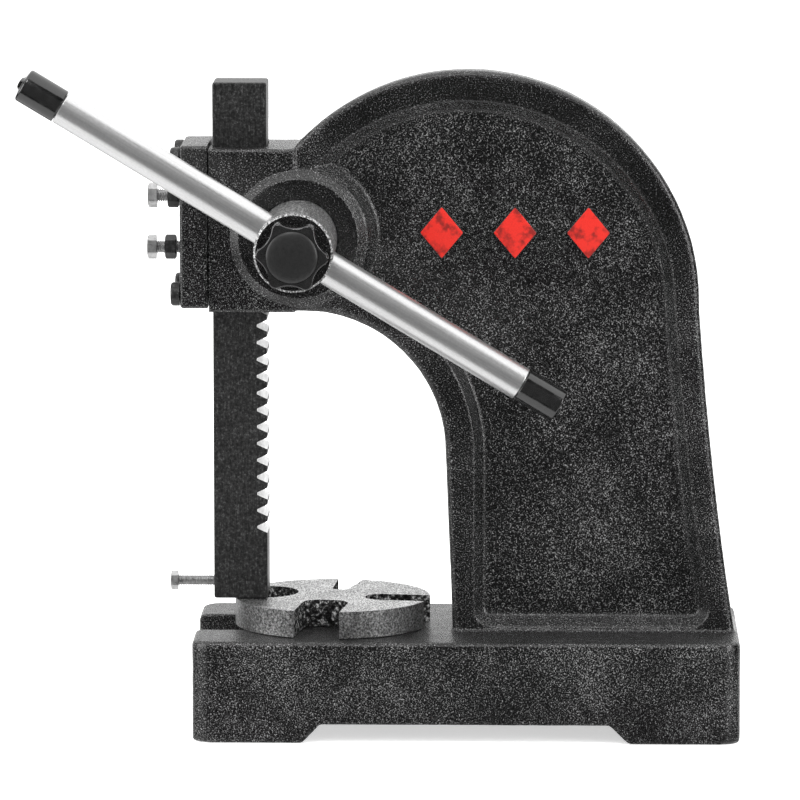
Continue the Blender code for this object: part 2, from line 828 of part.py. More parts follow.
def clamp_screw():
    """Knob, its cap, and the stud that presses on the bar."""
    place = (pinion_x, -bar_out, axis_height)
    hub_front = bar_out - hub_front_out
    neck_start = hub_front - gap
    body_start = neck_start - knob_neck_length
    body_end = body_start - knob_thickness
    edge_share = 1 - knob_edge / knob_lobe_radius
    levels = [
        (body_start, edge_share),
        (body_start - knob_edge, 1),
        (body_end + knob_edge, 1),
        (body_end + knob_edge / 3, (1 + edge_share) / 2),
        (body_end, edge_share * edge_share),
    ]
    sections = [(level, knob_outline(share)) for level, share in levels]
    knob = lofted("clamp_knob", sections, "Y", "black_plastic", at=place)
    neck = [(knob_neck_radius, neck_start), (knob_neck_radius, body_start - knob_edge)]
    join(knob, turned("neck_tool", neck, "Y", at=place, steps=small_round_steps))
    stud_end = body_start - stud_grip
    bore = [(stud_radius + gap, neck_start + overrun), (stud_radius + gap, stud_end - gap)]
    seat = [(knob_cap_radius + gap, body_end + knob_cap_recess), (knob_cap_radius + gap, body_end - overrun)]
    cut(
        knob,
        turned("knob_bore_tool", bore, "Y", at=place, steps=screw_steps),
        turned("cap_seat_tool", seat, "Y", at=place, steps=round_steps // 2),
    )
    cap_base = body_end + knob_cap_recess - gap
    dome = [(knob_cap_radius, cap_base), (knob_cap_radius, body_end)]
    for step in range(1, 5):
        turn = math.pi / 2 * step / 5
        dome.append((knob_cap_radius * math.cos(turn), body_end - knob_cap_rise * math.sin(turn)))
    turned("knob_cap", dome, "Y", "black_plastic", at=place, steps=round_steps // 2)
    stud = [(stud_radius, -bar_radius - gap), (stud_radius, stud_end)]
    turned("clamp_stud", stud, "Y", "zinc", at=place, steps=small_round_steps)


def notch_outline(end, rim_width, end_width, corner, angle):
    """A slot from beyond the plate's rim in to its rounded end, turned to its angle."""
    reach = anvil_radius + overrun
    half, wide = end_width / 2, rim_width / 2
    points = [(reach, wide)]
    points += arc((end + corner, half - corner), corner, math.pi / 2, math.pi, corner_steps)
    points += arc((end + corner, corner - half), corner, math.pi, 3 * math.pi / 2, corner_steps)
    points.append((reach, -wide))
    turn = math.radians(angle)
    return [
        (u * math.cos(turn) - v * math.sin(turn), u * math.sin(turn) + v * math.cos(turn)) for u, v in points
    ]


def anvil():
    """The round anvil plate with its four notches, and the pin it turns on."""
    underside = base_height + gap
    place = (anvil_x, 0, underside)
    top = anvil_thickness
    profile = [
        (anvil_radius - anvil_edge, 0),
        (anvil_radius, anvil_edge),
        (anvil_radius, top - anvil_edge),
        (anvil_radius - anvil_edge, top),
    ]
    plate = turned("anvil_plate", profile, "Z", "milled_iron", at=place, steps=round_steps * 3 // 2)
    notches = {"wide": wide_notch, "front": front_notch, "back": back_notch, "right": right_notch}
    for name, sizes in notches.items():
        outline = notch_outline(**sizes)
        cut(plate, prism(f"{name}_notch_tool", outline, -overrun, top + overrun, "Z", at=place))
    bore = [(pin_radius + gap, -overrun), (pin_radius + gap, pin_socket_depth)]
    cut(plate, turned("pin_bore_tool", bore, "Z", at=place, steps=small_round_steps))
    pin = [(pin_radius, -pin_seat_depth), (pin_radius, pin_socket_depth - gap)]
    turned("anvil_pin", pin, "Z", "grey_steel", at=place, steps=small_round_steps)


clear_scene()
frame_casting()
face_plate()
gib_strip()
face_plate_screws()
gib_screws()
ram()
tool_screw()
pinion_shaft()
bearing_bush()
shaft_end_fastening()
lever_bar()
clamp_screw()
anvil()
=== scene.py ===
"""A small black arbor press with a lever bar and a round anvil plate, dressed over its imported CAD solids.

Metres, +Z up. +X runs from the front of the press to its back, and the lever is on the -Y side.
"""

import json
import math

import bmesh
import bpy
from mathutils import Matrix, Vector

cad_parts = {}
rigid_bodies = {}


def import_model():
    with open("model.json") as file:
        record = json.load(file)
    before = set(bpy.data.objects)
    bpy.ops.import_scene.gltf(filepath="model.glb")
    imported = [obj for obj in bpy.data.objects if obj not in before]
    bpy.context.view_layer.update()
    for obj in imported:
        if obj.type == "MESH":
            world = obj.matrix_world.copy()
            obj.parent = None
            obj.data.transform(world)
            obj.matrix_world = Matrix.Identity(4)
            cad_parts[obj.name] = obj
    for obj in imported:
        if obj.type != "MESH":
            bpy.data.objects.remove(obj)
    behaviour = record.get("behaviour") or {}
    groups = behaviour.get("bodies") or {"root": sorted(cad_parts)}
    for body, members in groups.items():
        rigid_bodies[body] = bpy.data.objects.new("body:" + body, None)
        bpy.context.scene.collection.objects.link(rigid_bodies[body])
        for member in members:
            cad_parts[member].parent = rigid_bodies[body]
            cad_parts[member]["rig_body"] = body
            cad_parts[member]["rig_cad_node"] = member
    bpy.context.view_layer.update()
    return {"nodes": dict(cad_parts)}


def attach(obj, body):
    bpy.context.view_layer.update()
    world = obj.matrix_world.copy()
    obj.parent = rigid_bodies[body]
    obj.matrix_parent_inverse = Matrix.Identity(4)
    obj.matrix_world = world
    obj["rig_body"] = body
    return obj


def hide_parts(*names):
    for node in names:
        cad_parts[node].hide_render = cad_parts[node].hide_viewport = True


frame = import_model()
nodes = frame["nodes"]


# Camera: it stands 2.9 m away, a little above the press and a little to its right, with a long lens.
# The floor is a plain white sheet, and the room around it is white, as in a light tent.
camera_place = (-0.0688, -2.8775, 0.5638)
camera_turn = (math.radians(81.9), 0, math.radians(1.3))
camera_lens = 277.0
middle_x = -0.1
floor_size = 6.0
floor_level = -0.0004

bpy.ops.object.select_all(action="DESELECT")
bpy.ops.object.camera_add(location=camera_place, rotation=camera_turn)
camera = bpy.context.object
camera.data.lens = camera_lens
camera.data.sensor_width = 36
camera.data.clip_start = 0.05
camera.data.clip_end = 60
bpy.context.scene.camera = camera


def new_finish(name, roughness, metallic=0.0, shine=0.5):
    """A finish to build on: its material, its shader, and the coordinates of the piece it is on."""
    finish = bpy.data.materials.new(name)
    finish.use_nodes = True
    shader = finish.node_tree.nodes["Principled BSDF"]
    shader.inputs["Roughness"].default_value = roughness
    shader.inputs["Metallic"].default_value = metallic
    shader.inputs["Specular IOR Level"].default_value = shine
    place = finish.node_tree.nodes.new("ShaderNodeTexCoord").outputs["Object"]
    return finish, shader, place


# The functions for finishes add to the node tree that holds what they are given: its id_data.
def grain(place, scale, detail=3.0, roughness=0.6):
    """Irregular grain, from 0 to 1, with this many grains to the metre."""
    tree = place.id_data
    node = tree.nodes.new("ShaderNodeTexNoise")
    node.inputs["Scale"].default_value = scale
    node.inputs["Detail"].default_value = detail
    node.inputs["Roughness"].default_value = roughness
    tree.links.new(place, node.inputs["Vector"])
    return node.outputs["Fac"]


def shaded(value, *stops):
    """Greys for a value, from pairs of a place on its scale and a grey or colour."""
    tree = value.id_data
    node = tree.nodes.new("ShaderNodeValToRGB")
    ramp = node.color_ramp
    while len(ramp.elements) < len(stops):
        ramp.elements.new(0.5)
    for element, (position, colour) in zip(ramp.elements, stops):
        element.position = position
        element.color = (*colour, 1) if isinstance(colour, tuple) else (colour, colour, colour, 1)
    tree.links.new(value, node.inputs["Fac"])
    return node.outputs["Color"]


def coloured(shader, value, *stops):
    """Colours the surface by a value, with the same kind of pairs."""
    shader.id_data.links.new(shaded(value, *stops), shader.inputs["Base Color"])


bpy.ops.object.select_all(action="DESELECT")
bpy.ops.mesh.primitive_plane_add(size=floor_size, location=(middle_x, 0, floor_level))
floor = bpy.context.object
floor.name = "floor"
floor_white, shader, place = new_finish("floor_white", 0.75, shine=0.1)
coloured(shader, grain(place, 3.0), (0.0, 0.90), (1.0, 0.93))
shader.inputs["Emission Color"].default_value = (1, 1, 1, 1)
shader.inputs["Emission Strength"].default_value = 0.55
floor.data.materials.append(floor_white)
floor.visible_glossy = False


# Light: a white room round a light table, with softboxes overhead, in front and on both sides. What
# shines reflects all of these but the one overhead, and three white sheets overhead, behind and under
# the table. Dark cards on the camera's side keep the near faces black. The camera sees none of them.
room_strength = 1.5
lit_place = Vector((middle_x, 0, 0.15))
upright = (math.pi / 2, 0, 0)
# Each softbox has a place, a width, a height and a power in watts.
softboxes = {
    "softbox_overhead": ((-0.20, -0.35, 1.25), 1.3, 1.0, 9.0),
    "softbox_front": ((-0.35, -1.00, 1.30), 0.4, 0.3, 4.0),
    "softbox_left": ((-1.35, -0.35, 0.50), 1.2, 1.0, 11.0),
    "softbox_right": ((1.20, -0.80, 0.60), 0.35, 1.0, 11.0),
}
# Each card and sheet has a place, a turn and a size, and each sheet a strength of its glow.
cards = {
    "card_low": ((middle_x, -2.30, -0.5), upright, (5.0, 1.0)),
    "card_high": ((middle_x, -2.30, 1.0), upright, (5.0, 2.0)),
}
sheets = {
    "sheet_under": ((middle_x, 0.0, -0.5), (0, 0, 0), (3.0, 1.8), 1.00),
    "sheet_over": ((middle_x, 0.45, 1.3), (0, 0, 0), (3.0, 2.3), 1.30),
    "sheet_behind": ((middle_x, 1.60, 0.40), upright, (3.0, 1.8), 1.25),
}

room = bpy.data.worlds.new("white_room")
bpy.context.scene.world = room
room.use_nodes = True
room.node_tree.nodes["Background"].inputs["Color"].default_value = (1, 1, 1, 1)
room.node_tree.nodes["Background"].inputs["Strength"].default_value = room_strength
room.cycles_visibility.glossy = False
for name, (at, width, height, power) in softboxes.items():
    turn = (lit_place - Vector(at)).to_track_quat("-Z", "Y").to_euler()
    bpy.ops.object.light_add(type="AREA", location=at, rotation=turn)
    softbox = bpy.context.object
    softbox.name = name
    softbox.data.shape = "RECTANGLE"
    softbox.data.size = width
    softbox.data.size_y = height
    softbox.data.energy = power
    softbox.visible_camera = False
    softbox.visible_glossy = name != "softbox_overhead"


def panel(name, at, turn, size, finish):
    """A flat sheet of the stage that shows only in what shines."""
    bpy.ops.object.select_all(action="DESELECT")
    bpy.ops.mesh.primitive_plane_add(size=1, location=at, rotation=turn)
    piece = bpy.context.object
    piece.name = name
    piece.scale = (*size, 1)
    piece.data.materials.append(finish)
    piece.visible_camera = False
    piece.visible_shadow = False
    piece.visible_diffuse = False
    return piece


card_grey, shader, place = new_finish("card_grey", 0.9, shine=0.1)
coloured(shader, grain(place, 2.0), (0.0, 0.05), (1.0, 0.06))
for name, (at, turn, size) in cards.items():
    card = panel(name, at, turn, size, card_grey)
for name, (at, turn, size, glow) in sheets.items():
    sheet_white, shader, place = new_finish(f"{name}_white", 0.9)
    sheet_glow = shaded(grain(place, 2.0), (0.0, 0.95), (1.0, 1.0))
    sheet_white.node_tree.links.new(sheet_glow, shader.inputs["Emission Color"])
    shader.inputs["Emission Strength"].default_value = glow
    shader.inputs["Base Color"].default_value = (0.01, 0.01, 0.01, 1)
    sheet_white.cycles.emission_sampling = "NONE"
    sheet = panel(name, at, turn, size, sheet_white)
bpy.context.scene.view_settings.view_transform = "Standard"


# Frame casting: base, column, head and boss are one piece of grey iron, cast in sand with soft corners
# and a grainy skin, and painted black. The ram's channel, the bores, the tapped holes and the face under
# the face plate are cut afterwards, and the near boss is turned, so its edges are crisp.
ram_x = -0.2090
pinion_x = -0.18106
axis_height = 0.2338
shaft_at = (pinion_x, 0, axis_height)
anvil_x = -0.1660
anvil_at = (anvil_x, 0, 0)
head_front_x = -0.2233
head_half = 0.0250
head_underside = 0.1987
head_top = 0.2754
channel_half = 0.0130
near_bore_radius = 0.0186
far_bore_radius = 0.02033
boss_face_y = 0.0290
boss_radius = 0.0318
boss_face_radius = 0.0280
base_top = 0.0475
base_back_x = 0.0260
base_half = 0.0550
tap_radius = 0.0033
tap_depth = 0.0140
pin_seat_radius = 0.0063
pin_seat_depth = 0.0223
seat_floor = base_top - pin_seat_depth
plate_screw_places = [(y, z) for z in (0.2067, 0.2701) for y in (-0.0185, 0.0185)]
same_place = 1e-6


def pick(piece):
    """Makes this the only selected piece."""
    bpy.ops.object.select_all(action="DESELECT")
    piece.select_set(True)
    bpy.context.view_layer.objects.active = piece
    return piece


def settled(piece):
    """Moves a piece's place and turn into its mesh."""
    pick(piece)
    bpy.ops.object.transform_apply(location=True, rotation=True, scale=True)
    return piece


def worked(piece, kind, **settings):
    """Adds one modifier with these settings, and applies it."""
    pick(piece)
    step = piece.modifiers.new(kind.lower(), kind)
    for name, value in settings.items():
        setattr(step, name, value)
    bpy.ops.object.modifier_apply(modifier=step.name)
    return piece


def cast_copy(node, name):
    """A copy of a CAD node with its loose triangles merged, free to be worked on."""
    piece = nodes[node].copy()
    piece.data = nodes[node].data.copy()
    bpy.context.scene.collection.objects.link(piece)
    piece.parent = None
    piece.name = name
    del piece["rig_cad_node"]
    del piece["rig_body"]
    pick(piece)
    if piece.data.has_custom_normals:
        bpy.ops.mesh.customdata_custom_splitnormals_clear()
    bpy.ops.object.mode_set(mode="EDIT")
    bpy.ops.mesh.select_all(action="SELECT")
    bpy.ops.mesh.remove_doubles(threshold=0.000002)
    bpy.ops.mesh.dissolve_limited(angle_limit=math.radians(0.5))
    bpy.ops.object.mode_set(mode="OBJECT")
    piece.data.materials.clear()
    return piece


def block(name, low, high):
    """A box between two corners."""
    bpy.ops.object.select_all(action="DESELECT")
    middle = [(a + b) / 2 for a, b in zip(low, high)]
    bpy.ops.mesh.primitive_cube_add(size=1, location=middle)
    piece = bpy.context.object
    piece.name = name
    piece.scale = [b - a for a, b in zip(low, high)]
    return settled(piece)


TURNS = {"X": (0, math.pi / 2, 0), "Y": (-math.pi / 2, 0, 0), "Z": (0, 0, 0)}


def rod(name, radius, low, high, axis, at, steps=64, far_radius=None):
    """A round bar or cone along an axis, between two levels, about the line through a place."""
    bpy.ops.object.select_all(action="DESELECT")
    middle = Vector(at)
    middle["XYZ".index(axis)] = (low + high) / 2
    bpy.ops.mesh.primitive_cone_add(
        vertices=steps,
        radius1=radius,
        radius2=radius if far_radius is None else far_radius,
        depth=high - low,
        location=middle,
        rotation=TURNS[axis],
    )
    piece = bpy.context.object
    piece.name = name
    return settled(piece)


def joined(piece, *others):
    """Puts other pieces into this one's mesh."""
    pick(piece)
    for other in others:
        other.select_set(True)
    bpy.ops.object.join()
    return piece


def machined(piece, *tools, operation="DIFFERENCE"):
    """Cuts tools out of a piece, whose cut faces take the tool's finish."""
    for tool in tools:
        worked(
            piece, "BOOLEAN", operation=operation, solver="EXACT", material_mode="TRANSFER", object=tool
        )
        bpy.data.objects.remove(tool)
    return piece


def faired(piece, angle=32):
    """Smooth shading, with a sharp line wherever faces meet at more than an angle."""
    pick(piece)
    bpy.ops.object.shade_smooth_by_angle(angle=math.radians(angle))
    return piece


def coated(piece, *finishes):
    """Gives a piece these finishes and no others."""
    piece.data.materials.clear()
    for finish in finishes:
        piece.data.materials.append(finish)


def rumpled(piece, name, size, depth):
    """Raises and lowers the whole skin a little, as sand leaves a casting."""
    unevenness = bpy.data.textures.new(name, "CLOUDS")
    unevenness.noise_scale = size
    unevenness.noise_depth = 2
    return worked(
        piece, "DISPLACE", texture=unevenness, strength=depth, mid_level=0.5, texture_coords="LOCAL"
    )


def mixed(kind, first, second):
    """Two values added, subtracted or multiplied, or one value without its sign."""
    tree = first.id_data
    node = tree.nodes.new("ShaderNodeMath")
    node.operation = kind
    for socket, value in zip(node.inputs, (first, second)):
        if isinstance(value, (int, float)):
            socket.default_value = value
        else:
            tree.links.new(value, socket)
    return node.outputs[0]


def graded(value, low, high):
    """0 where a value is at or past the first limit, 1 at or past the second, and smooth between."""
    tree = value.id_data
    node = tree.nodes.new("ShaderNodeMapRange")
    node.interpolation_type = "SMOOTHSTEP"
    node.inputs["From Min"].default_value = low
    node.inputs["From Max"].default_value = high
    tree.links.new(value, node.inputs["Value"])
    return node.outputs["Result"]


def measured(place, centre, keep):
    """Distance from a point, counted only in the directions that are kept."""
    tree = place.id_data
    node = tree.nodes.new("ShaderNodeMapping")
    node.inputs["Location"].default_value = [-a * b for a, b in zip(centre, keep)]
    node.inputs["Scale"].default_value = keep
    tree.links.new(place, node.inputs["Vector"])
    length = tree.nodes.new("ShaderNodeVectorMath")
    length.operation = "LENGTH"
    tree.links.new(node.outputs["Vector"], length.inputs[0])
    return length.outputs["Value"]


def drawn_out(place, stretch, turn=(0, 0, 0)):
    """The same coordinates turned, and then scaled by a factor in each direction."""
    tree = place.id_data
    node = tree.nodes.new("ShaderNodeMapping")
    node.inputs["Rotation"].default_value = turn
    node.inputs["Scale"].default_value = stretch
    tree.links.new(place, node.inputs["Vector"])
    return node.outputs["Vector"]


def facing(place, direction, low, high):
    """1 where the surface faces this way or the opposite way, and 0 where it faces across it."""
    tree = place.id_data
    part = tree.nodes.new("ShaderNodeVectorMath")
    part.operation = "DOT_PRODUCT"
    part.inputs[1].default_value = direction
    tree.links.new(place.node.outputs["Normal"], part.inputs[0])
    return graded(mixed("ABSOLUTE", part.outputs["Value"], 0.0), low, high)


def polished(shader, value, *stops):
    """Sets the surface's roughness by a value, from pairs of a place on its scale and a roughness."""
    shader.id_data.links.new(shaded(value, *stops), shader.inputs["Roughness"])


def roughened(shader, height, depth):
    """Lets a value raise the surface by up to a depth in metres, on top of what already raises it."""
    tree = shader.id_data
    node = tree.nodes.new("ShaderNodeBump")
    node.inputs["Distance"].default_value = depth
    tree.links.new(height, node.inputs["Height"])
    if shader.inputs["Normal"].is_linked:
        tree.links.new(shader.inputs["Normal"].links[0].from_socket, node.inputs["Normal"])
    tree.links.new(node.outputs["Normal"], shader.inputs["Normal"])


def broken_edges(piece, width, segments=2, angle=35):
    """Rounds every edge sharper than an angle."""
    limit = math.radians(angle)
    return worked(
        piece, "BEVEL", width=width, segments=segments, limit_method="ANGLE", angle_limit=limit
    )


def lathed(name, profile, axis, at, steps=96):
    """A body turned about an axis from pairs of a radius and a level."""
    mesh = bpy.data.meshes.new(name)
    lines = [(i, i + 1) for i in range(len(profile) - 1)]
    mesh.from_pydata([(r, 0, level) for r, level in profile], lines, [])
    piece = bpy.data.objects.new(name, mesh)
    bpy.context.scene.collection.objects.link(piece)
    worked(
        piece, "SCREW", angle=2 * math.pi, steps=steps, render_steps=steps, screw_offset=0, axis="Z",
        use_merge_vertices=True, merge_threshold=same_place,
    )
    pick(piece)
    bpy.ops.object.mode_set(mode="EDIT")
    bpy.ops.mesh.select_all(action="SELECT")
    bpy.ops.mesh.remove_doubles(threshold=same_place)
    bpy.ops.mesh.normals_make_consistent(inside=False)
    bpy.ops.object.mode_set(mode="OBJECT")
    piece.rotation_euler = TURNS[axis]
    piece.location = at
    return settled(piece)


# Paint: a grain of two sizes in bigger patches. Its bright and dark specks are partly painted light:
# they stand in for the glints and shade of the paint's peel. There are fewer on the rim of the crown, low
# on the base and on the boss. Flat tops get fewer as painted shade, and what is nearly level and the
# base's sides get more, as a painted highlight of the light from above and painted light from the floor.
sideways = (0, 1, 0)
upwards = (0, 0, 1)
mid_height = 0.12
far_from_mid_height = (0.095, 0.135)
crown_centre = (-0.1023, 0, 0.2005)
crown_rim_inside = 0.0930
rim_blend = 0.001
ahead_x = -0.30
behind_the_head = (0.127, 0.134)
below_the_top = (0.050, 0.044)
boss_blend = 0.0008
peel_share = 0.62
sand_share = 0.38
patch_share = 0.13
fewer_on_rim = 0.029
# Painted highlight: more specks on nearly level faces, for the light from above.
level_painted_highlight = 0.020
# Painted light: more specks low on the base, for the light from the floor.
base_painted_floor_light = 0.012
# Painted shade: fewer specks on flat tops.
tops_painted_shade = 0.042
fewer_on_boss = 0.038

black_paint, shader, place = new_finish("black_casting_paint", 0.24, shine=0.75)
peel = grain(place, 1650, 2.0, 0.5)
sand = grain(place, 3400, 2.0, 0.6)
patches = grain(place, 34, 3.0, 0.6)
peel_and_glint_part = mixed("MULTIPLY", peel, peel_share)
sand_and_glint_part = mixed("MULTIPLY", sand, sand_share)
patch_part = mixed("MULTIPLY", mixed("SUBTRACT", patches, 0.5), patch_share)
from_mid_height = measured(place, (0, 0, mid_height), (0, 0, 1))
high_or_low = graded(from_mid_height, *far_from_mid_height)
from_crown = measured(place, crown_centre, (1, 0, 1))
rim = graded(from_crown, crown_rim_inside - rim_blend, crown_rim_inside)
from_ahead = measured(place, (ahead_x, 0, 0), (1, 0, 0))
behind_head = graded(from_ahead, *behind_the_head)
smooth_rim = mixed("MULTIPLY", mixed("MULTIPLY", high_or_low, rim), fewer_on_rim)
smooth_rim = mixed("MULTIPLY", smooth_rim, behind_head)
smooth_rim = mixed("MULTIPLY", smooth_rim, facing(place, sideways, 0.5, 0.9))
level = facing(place, upwards, 0.60, 0.90)
# Nearly level faces get more specks: a painted highlight of the light from above.
painted_highlight_on_level = mixed("MULTIPLY", level, level_painted_highlight)
height = measured(place, (0, 0, 0), (0, 0, 1))
# The base below its top gets more specks: painted light from the floor.
painted_floor_light_on_base = mixed("MULTIPLY", graded(height, *below_the_top), base_painted_floor_light)
# Flat tops get fewer specks: painted shade.
painted_shade_on_flat_tops = mixed("MULTIPLY", facing(place, upwards, 0.93, 0.985), tops_painted_shade)
from_shaft = measured(place, shaft_at, (1, 0, 1))
in_boss = graded(from_shaft, boss_face_radius, boss_face_radius - boss_blend)
smooth_boss = mixed("MULTIPLY", in_boss, fewer_on_boss)
# The specks sum up here: grain standing in for the peel's glints and shade, with the painted shade and
# highlights above.
flecks_and_painted_light = mixed("ADD", mixed("ADD", peel_and_glint_part, sand_and_glint_part), patch_part)
flecks_and_painted_light = mixed("SUBTRACT", flecks_and_painted_light, mixed("ADD", smooth_rim, smooth_boss))
flecks_and_painted_light = mixed("SUBTRACT", flecks_and_painted_light, painted_shade_on_flat_tops)
flecks_and_painted_light = mixed("ADD", flecks_and_painted_light, mixed("ADD", painted_highlight_on_level, painted_floor_light_on_base))
coloured(shader, flecks_and_painted_light, (0.46, 0.0006), (0.535, 0.006), (0.595, 0.046), (0.665, 0.20))
polished(shader, patches, (0.3, 0.17), (0.7, 0.25))
roughened(shader, peel, 0.00022)
level_peel = mixed("MULTIPLY", mixed("SUBTRACT", peel, 0.5), level)
roughened(shader, level_peel, 0.00090)

cut_iron, shader, place = new_finish("cut_iron", 0.42, 0.9)
coloured(shader, grain(place, 1400, 3.0), (0.3, 0.20), (0.7, 0.36))
roughened(shader, grain(place, 2600), 0.00003)

# The plugs fill what is cut later, so that the skin forms over a solid casting.
voxel = 0.0009
kept_share = 0.31
plug_margin = 0.0010
plug_inset = 0.0004
bore_plug_radius = 0.0212
stock_in_front = 0.0016
stock_behind = 0.0030

casting = cast_copy("frame_casting", "press_casting")
plugs = [
    block(
        "head_stock",
        (head_front_x - stock_in_front, -head_half, head_underside),
        (head_front_x + stock_behind, head_half, head_top),
    ),
    block(
        "channel_plug",
        (head_front_x, -channel_half - plug_margin, head_underside),
        (ram_x + channel_half + plug_margin, channel_half + plug_margin, head_top),
    ),
    rod("bore_plug", bore_plug_radius, plug_inset - boss_face_y, boss_face_y - plug_inset, "Y", shaft_at),
    rod("seat_plug", pin_seat_radius + plug_margin, seat_floor - plug_margin, base_top, "Z", anvil_at),
]
for y, z in plate_screw_places:
    tap_end_x = head_front_x + tap_depth + plug_margin
    plugs.append(rod("tap_plug", tap_radius + plug_margin, head_front_x, tap_end_x, "X", (0, y, z)))
joined(casting, *plugs)
worked(casting, "REMESH", mode="VOXEL", voxel_size=voxel)
worked(casting, "SMOOTH", factor=0.5, iterations=3)

# The foot of the recess in the web and the rim of the throat are softer than the other corners.
sill_height = 0.050
recess_front_x = -0.165
recess_depths = (0.0148, 0.0190)
throat_centre = (-0.1790, 0.1323)
throat_rim_radius = 0.0667 + 0.0040
throat_front_x = -0.170
column_rim_x = -0.1045
rim_depth = 0.0185


def in_recess_foot(point):
    """Whether a point lies on the sloping wall between the web and the rim around it."""
    inner, outer = recess_depths
    return point.x > recess_front_x and point.z > sill_height and inner < abs(point.y) < outer


def in_throat_rim(point):
    """Whether a point lies on the outer edge of the throat or of the column's front below it."""
    near_throat = math.dist((point.x, point.z), throat_centre) < throat_rim_radius
    on_column = sill_height < point.z < throat_centre[1] and point.x < column_rim_x
    return abs(point.y) > rim_depth and point.x > throat_front_x and (near_throat or on_column)


for name, test, iterations in (("recess_foot", in_recess_foot, 10), ("throat_rim", in_throat_rim, 20)):
    group = casting.vertex_groups.new(name=name)
    group.add([point.index for point in casting.data.vertices if test(point.co)], 1.0, "REPLACE")
    worked(casting, "SMOOTH", factor=0.5, iterations=iterations, vertex_group=name)
rumpled(casting, "casting_waves", 0.014, 0.00022)
rumpled(casting, "casting_grain", 0.0045, 0.00016)
worked(casting, "DECIMATE", ratio=kept_share)
for point in casting.data.vertices:
    point.co.x = min(point.co.x, base_back_x)
    point.co.y = max(-base_half, min(base_half, point.co.y))
coated(casting, black_paint)

# Milling and drilling. The tools start outside the casting, and the feet are milled level.
clear_x = -0.30
clear_y = 0.05
mill_low = 0.15
mill_high = 0.33
skin_cut = 0.0004
mill_overrun = 0.005
drill_overrun = 0.01
foot_mill_half = 0.10
foot_mill_low = -0.02
foot_level = 0.00005

tools = [
    block("front_mill", (clear_x, -clear_y, mill_low), (head_front_x + skin_cut, clear_y, mill_high)),
    block(
        "channel_mill",
        (clear_x, -channel_half, head_underside - mill_overrun),
        (ram_x + channel_half, channel_half, head_top + mill_overrun),
    ),
    rod("near_drill", near_bore_radius, -clear_y, 0.0, "Y", shaft_at, 96),
    rod("far_drill", far_bore_radius, 0.0, clear_y, "Y", shaft_at, 96),
    rod("seat_drill", pin_seat_radius, seat_floor, base_top + drill_overrun, "Z", anvil_at, 48),
    block(
        "foot_mill",
        (clear_x, -foot_mill_half, foot_mill_low),
        (foot_mill_half, foot_mill_half, foot_level),
    ),
]
for y, z in plate_screw_places:
    tap_start_x, tap_end_x = head_front_x - drill_overrun, head_front_x + tap_depth
    tools.append(rod("tap_drill", tap_radius, tap_start_x, tap_end_x, "X", (0, y, z), 32))
for tool in tools:
    coated(tool, cut_iron)
machined(casting, *tools)

# The near boss widens to a short foot, and its bore is 0.1 mm tighter than the casting's.
boss_foot = 0.0010
boss_foot_height = 0.0003
boss_root = 0.0030
boss_bore = near_bore_radius - 0.0001
boss_edge = 0.0006
boss_steps = 160
casting_crease = 38

near_boss = lathed(
    "near_boss",
    [
        (boss_bore, -boss_face_y),
        (boss_face_radius, -boss_face_y),
        (boss_radius, -head_half),
        (boss_radius + boss_foot, boss_foot_height - head_half),
        (boss_radius + boss_foot, boss_root - head_half),
        (boss_bore, boss_root - head_half),
        (boss_bore, -boss_face_y),
    ],
    "Y",
    shaft_at,
    boss_steps,
)
broken_edges(near_boss, boss_edge, 3, 20)
coated(near_boss, black_paint)
boss_clearing = rod(
    "boss_clearing", boss_radius + boss_foot, -clear_y, -head_half, "Y", shaft_at, boss_steps
)
coated(boss_clearing, black_paint)
machined(casting, boss_clearing)
machined(casting, near_boss, operation="UNION")
faired(casting, casting_crease)
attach(casting, "press_frame")
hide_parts("frame_casting")


# Raised ornament: three plain lozenges stand on the web's near side, cast with the frame. Their faces
# are painted red over the black, and their sloping sides stay black.
lozenge_places = (-0.1142, -0.0799, -0.0456)
lozenge_height = 0.2357
lozenge_width = 0.0115
lozenge_reach = 0.0138
lozenge_face_share = 0.87
lozenge_edge = 0.0007
web_face_y = -0.0155
lozenge_rise = 0.0021
lozenge_root = 0.0010
red_depth = 0.0003

red_paint, shader, place = new_finish("red_paint", 0.45, shine=0.25)
red_patches = grain(place, 160, 3.0)
coloured(shader, red_patches, (0.36, (0.16, 0.004, 0.002)), (0.50, (0.40, 0.008, 0.003)))
roughened(shader, grain(place, 760, 2.0, 0.55), 0.00012)

lozenges = []
for x in lozenge_places:
    outer, inner = web_face_y - lozenge_rise, web_face_y + lozenge_root
    lozenge = rod("raised_ornament", lozenge_face_share, outer, inner, "Y", (0, 0, 0), 4, 1.0)
    lozenge.scale = (lozenge_width, 1, lozenge_reach)
    lozenge.location = (x, 0, lozenge_height)
    lozenges.append(settled(lozenge))
ornament = joined(*lozenges)
broken_edges(ornament, lozenge_edge, 3, 30)
coated(ornament, black_paint, red_paint)
for face in ornament.data.polygons:
    face.material_index = int(face.center.y < web_face_y - lozenge_rise + red_depth)
faired(ornament)
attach(ornament, "press_frame")


# Anvil pin: a ground steel pin, pressed into the base, that the plate turns on. The plate hides it.
turned_steel, shader, place = new_finish("turned_steel", 0.42, 0.7)
turning_marks = grain(drawn_out(place, (260, 2600, 260)), 1.0, 2.0)
steel_specks = grain(drawn_out(place, (1300, 380, 1300)), 1.0, 3.0, 0.7)
coloured(shader, steel_specks, (0.40, 0.04), (0.50, 0.19), (0.60, 0.60))
polished(shader, turning_marks, (0.3, 0.28), (0.7, 0.46))
roughened(shader, turning_marks, 0.00002)
roughened(shader, steel_specks, 0.00012)


def refinished(node, finish):
    """Gives a CAD node another finish and leaves its shape."""
    for place_in_list in range(len(nodes[node].data.materials)):
        nodes[node].data.materials[place_in_list] = finish


refinished("anvil_pin", turned_steel)


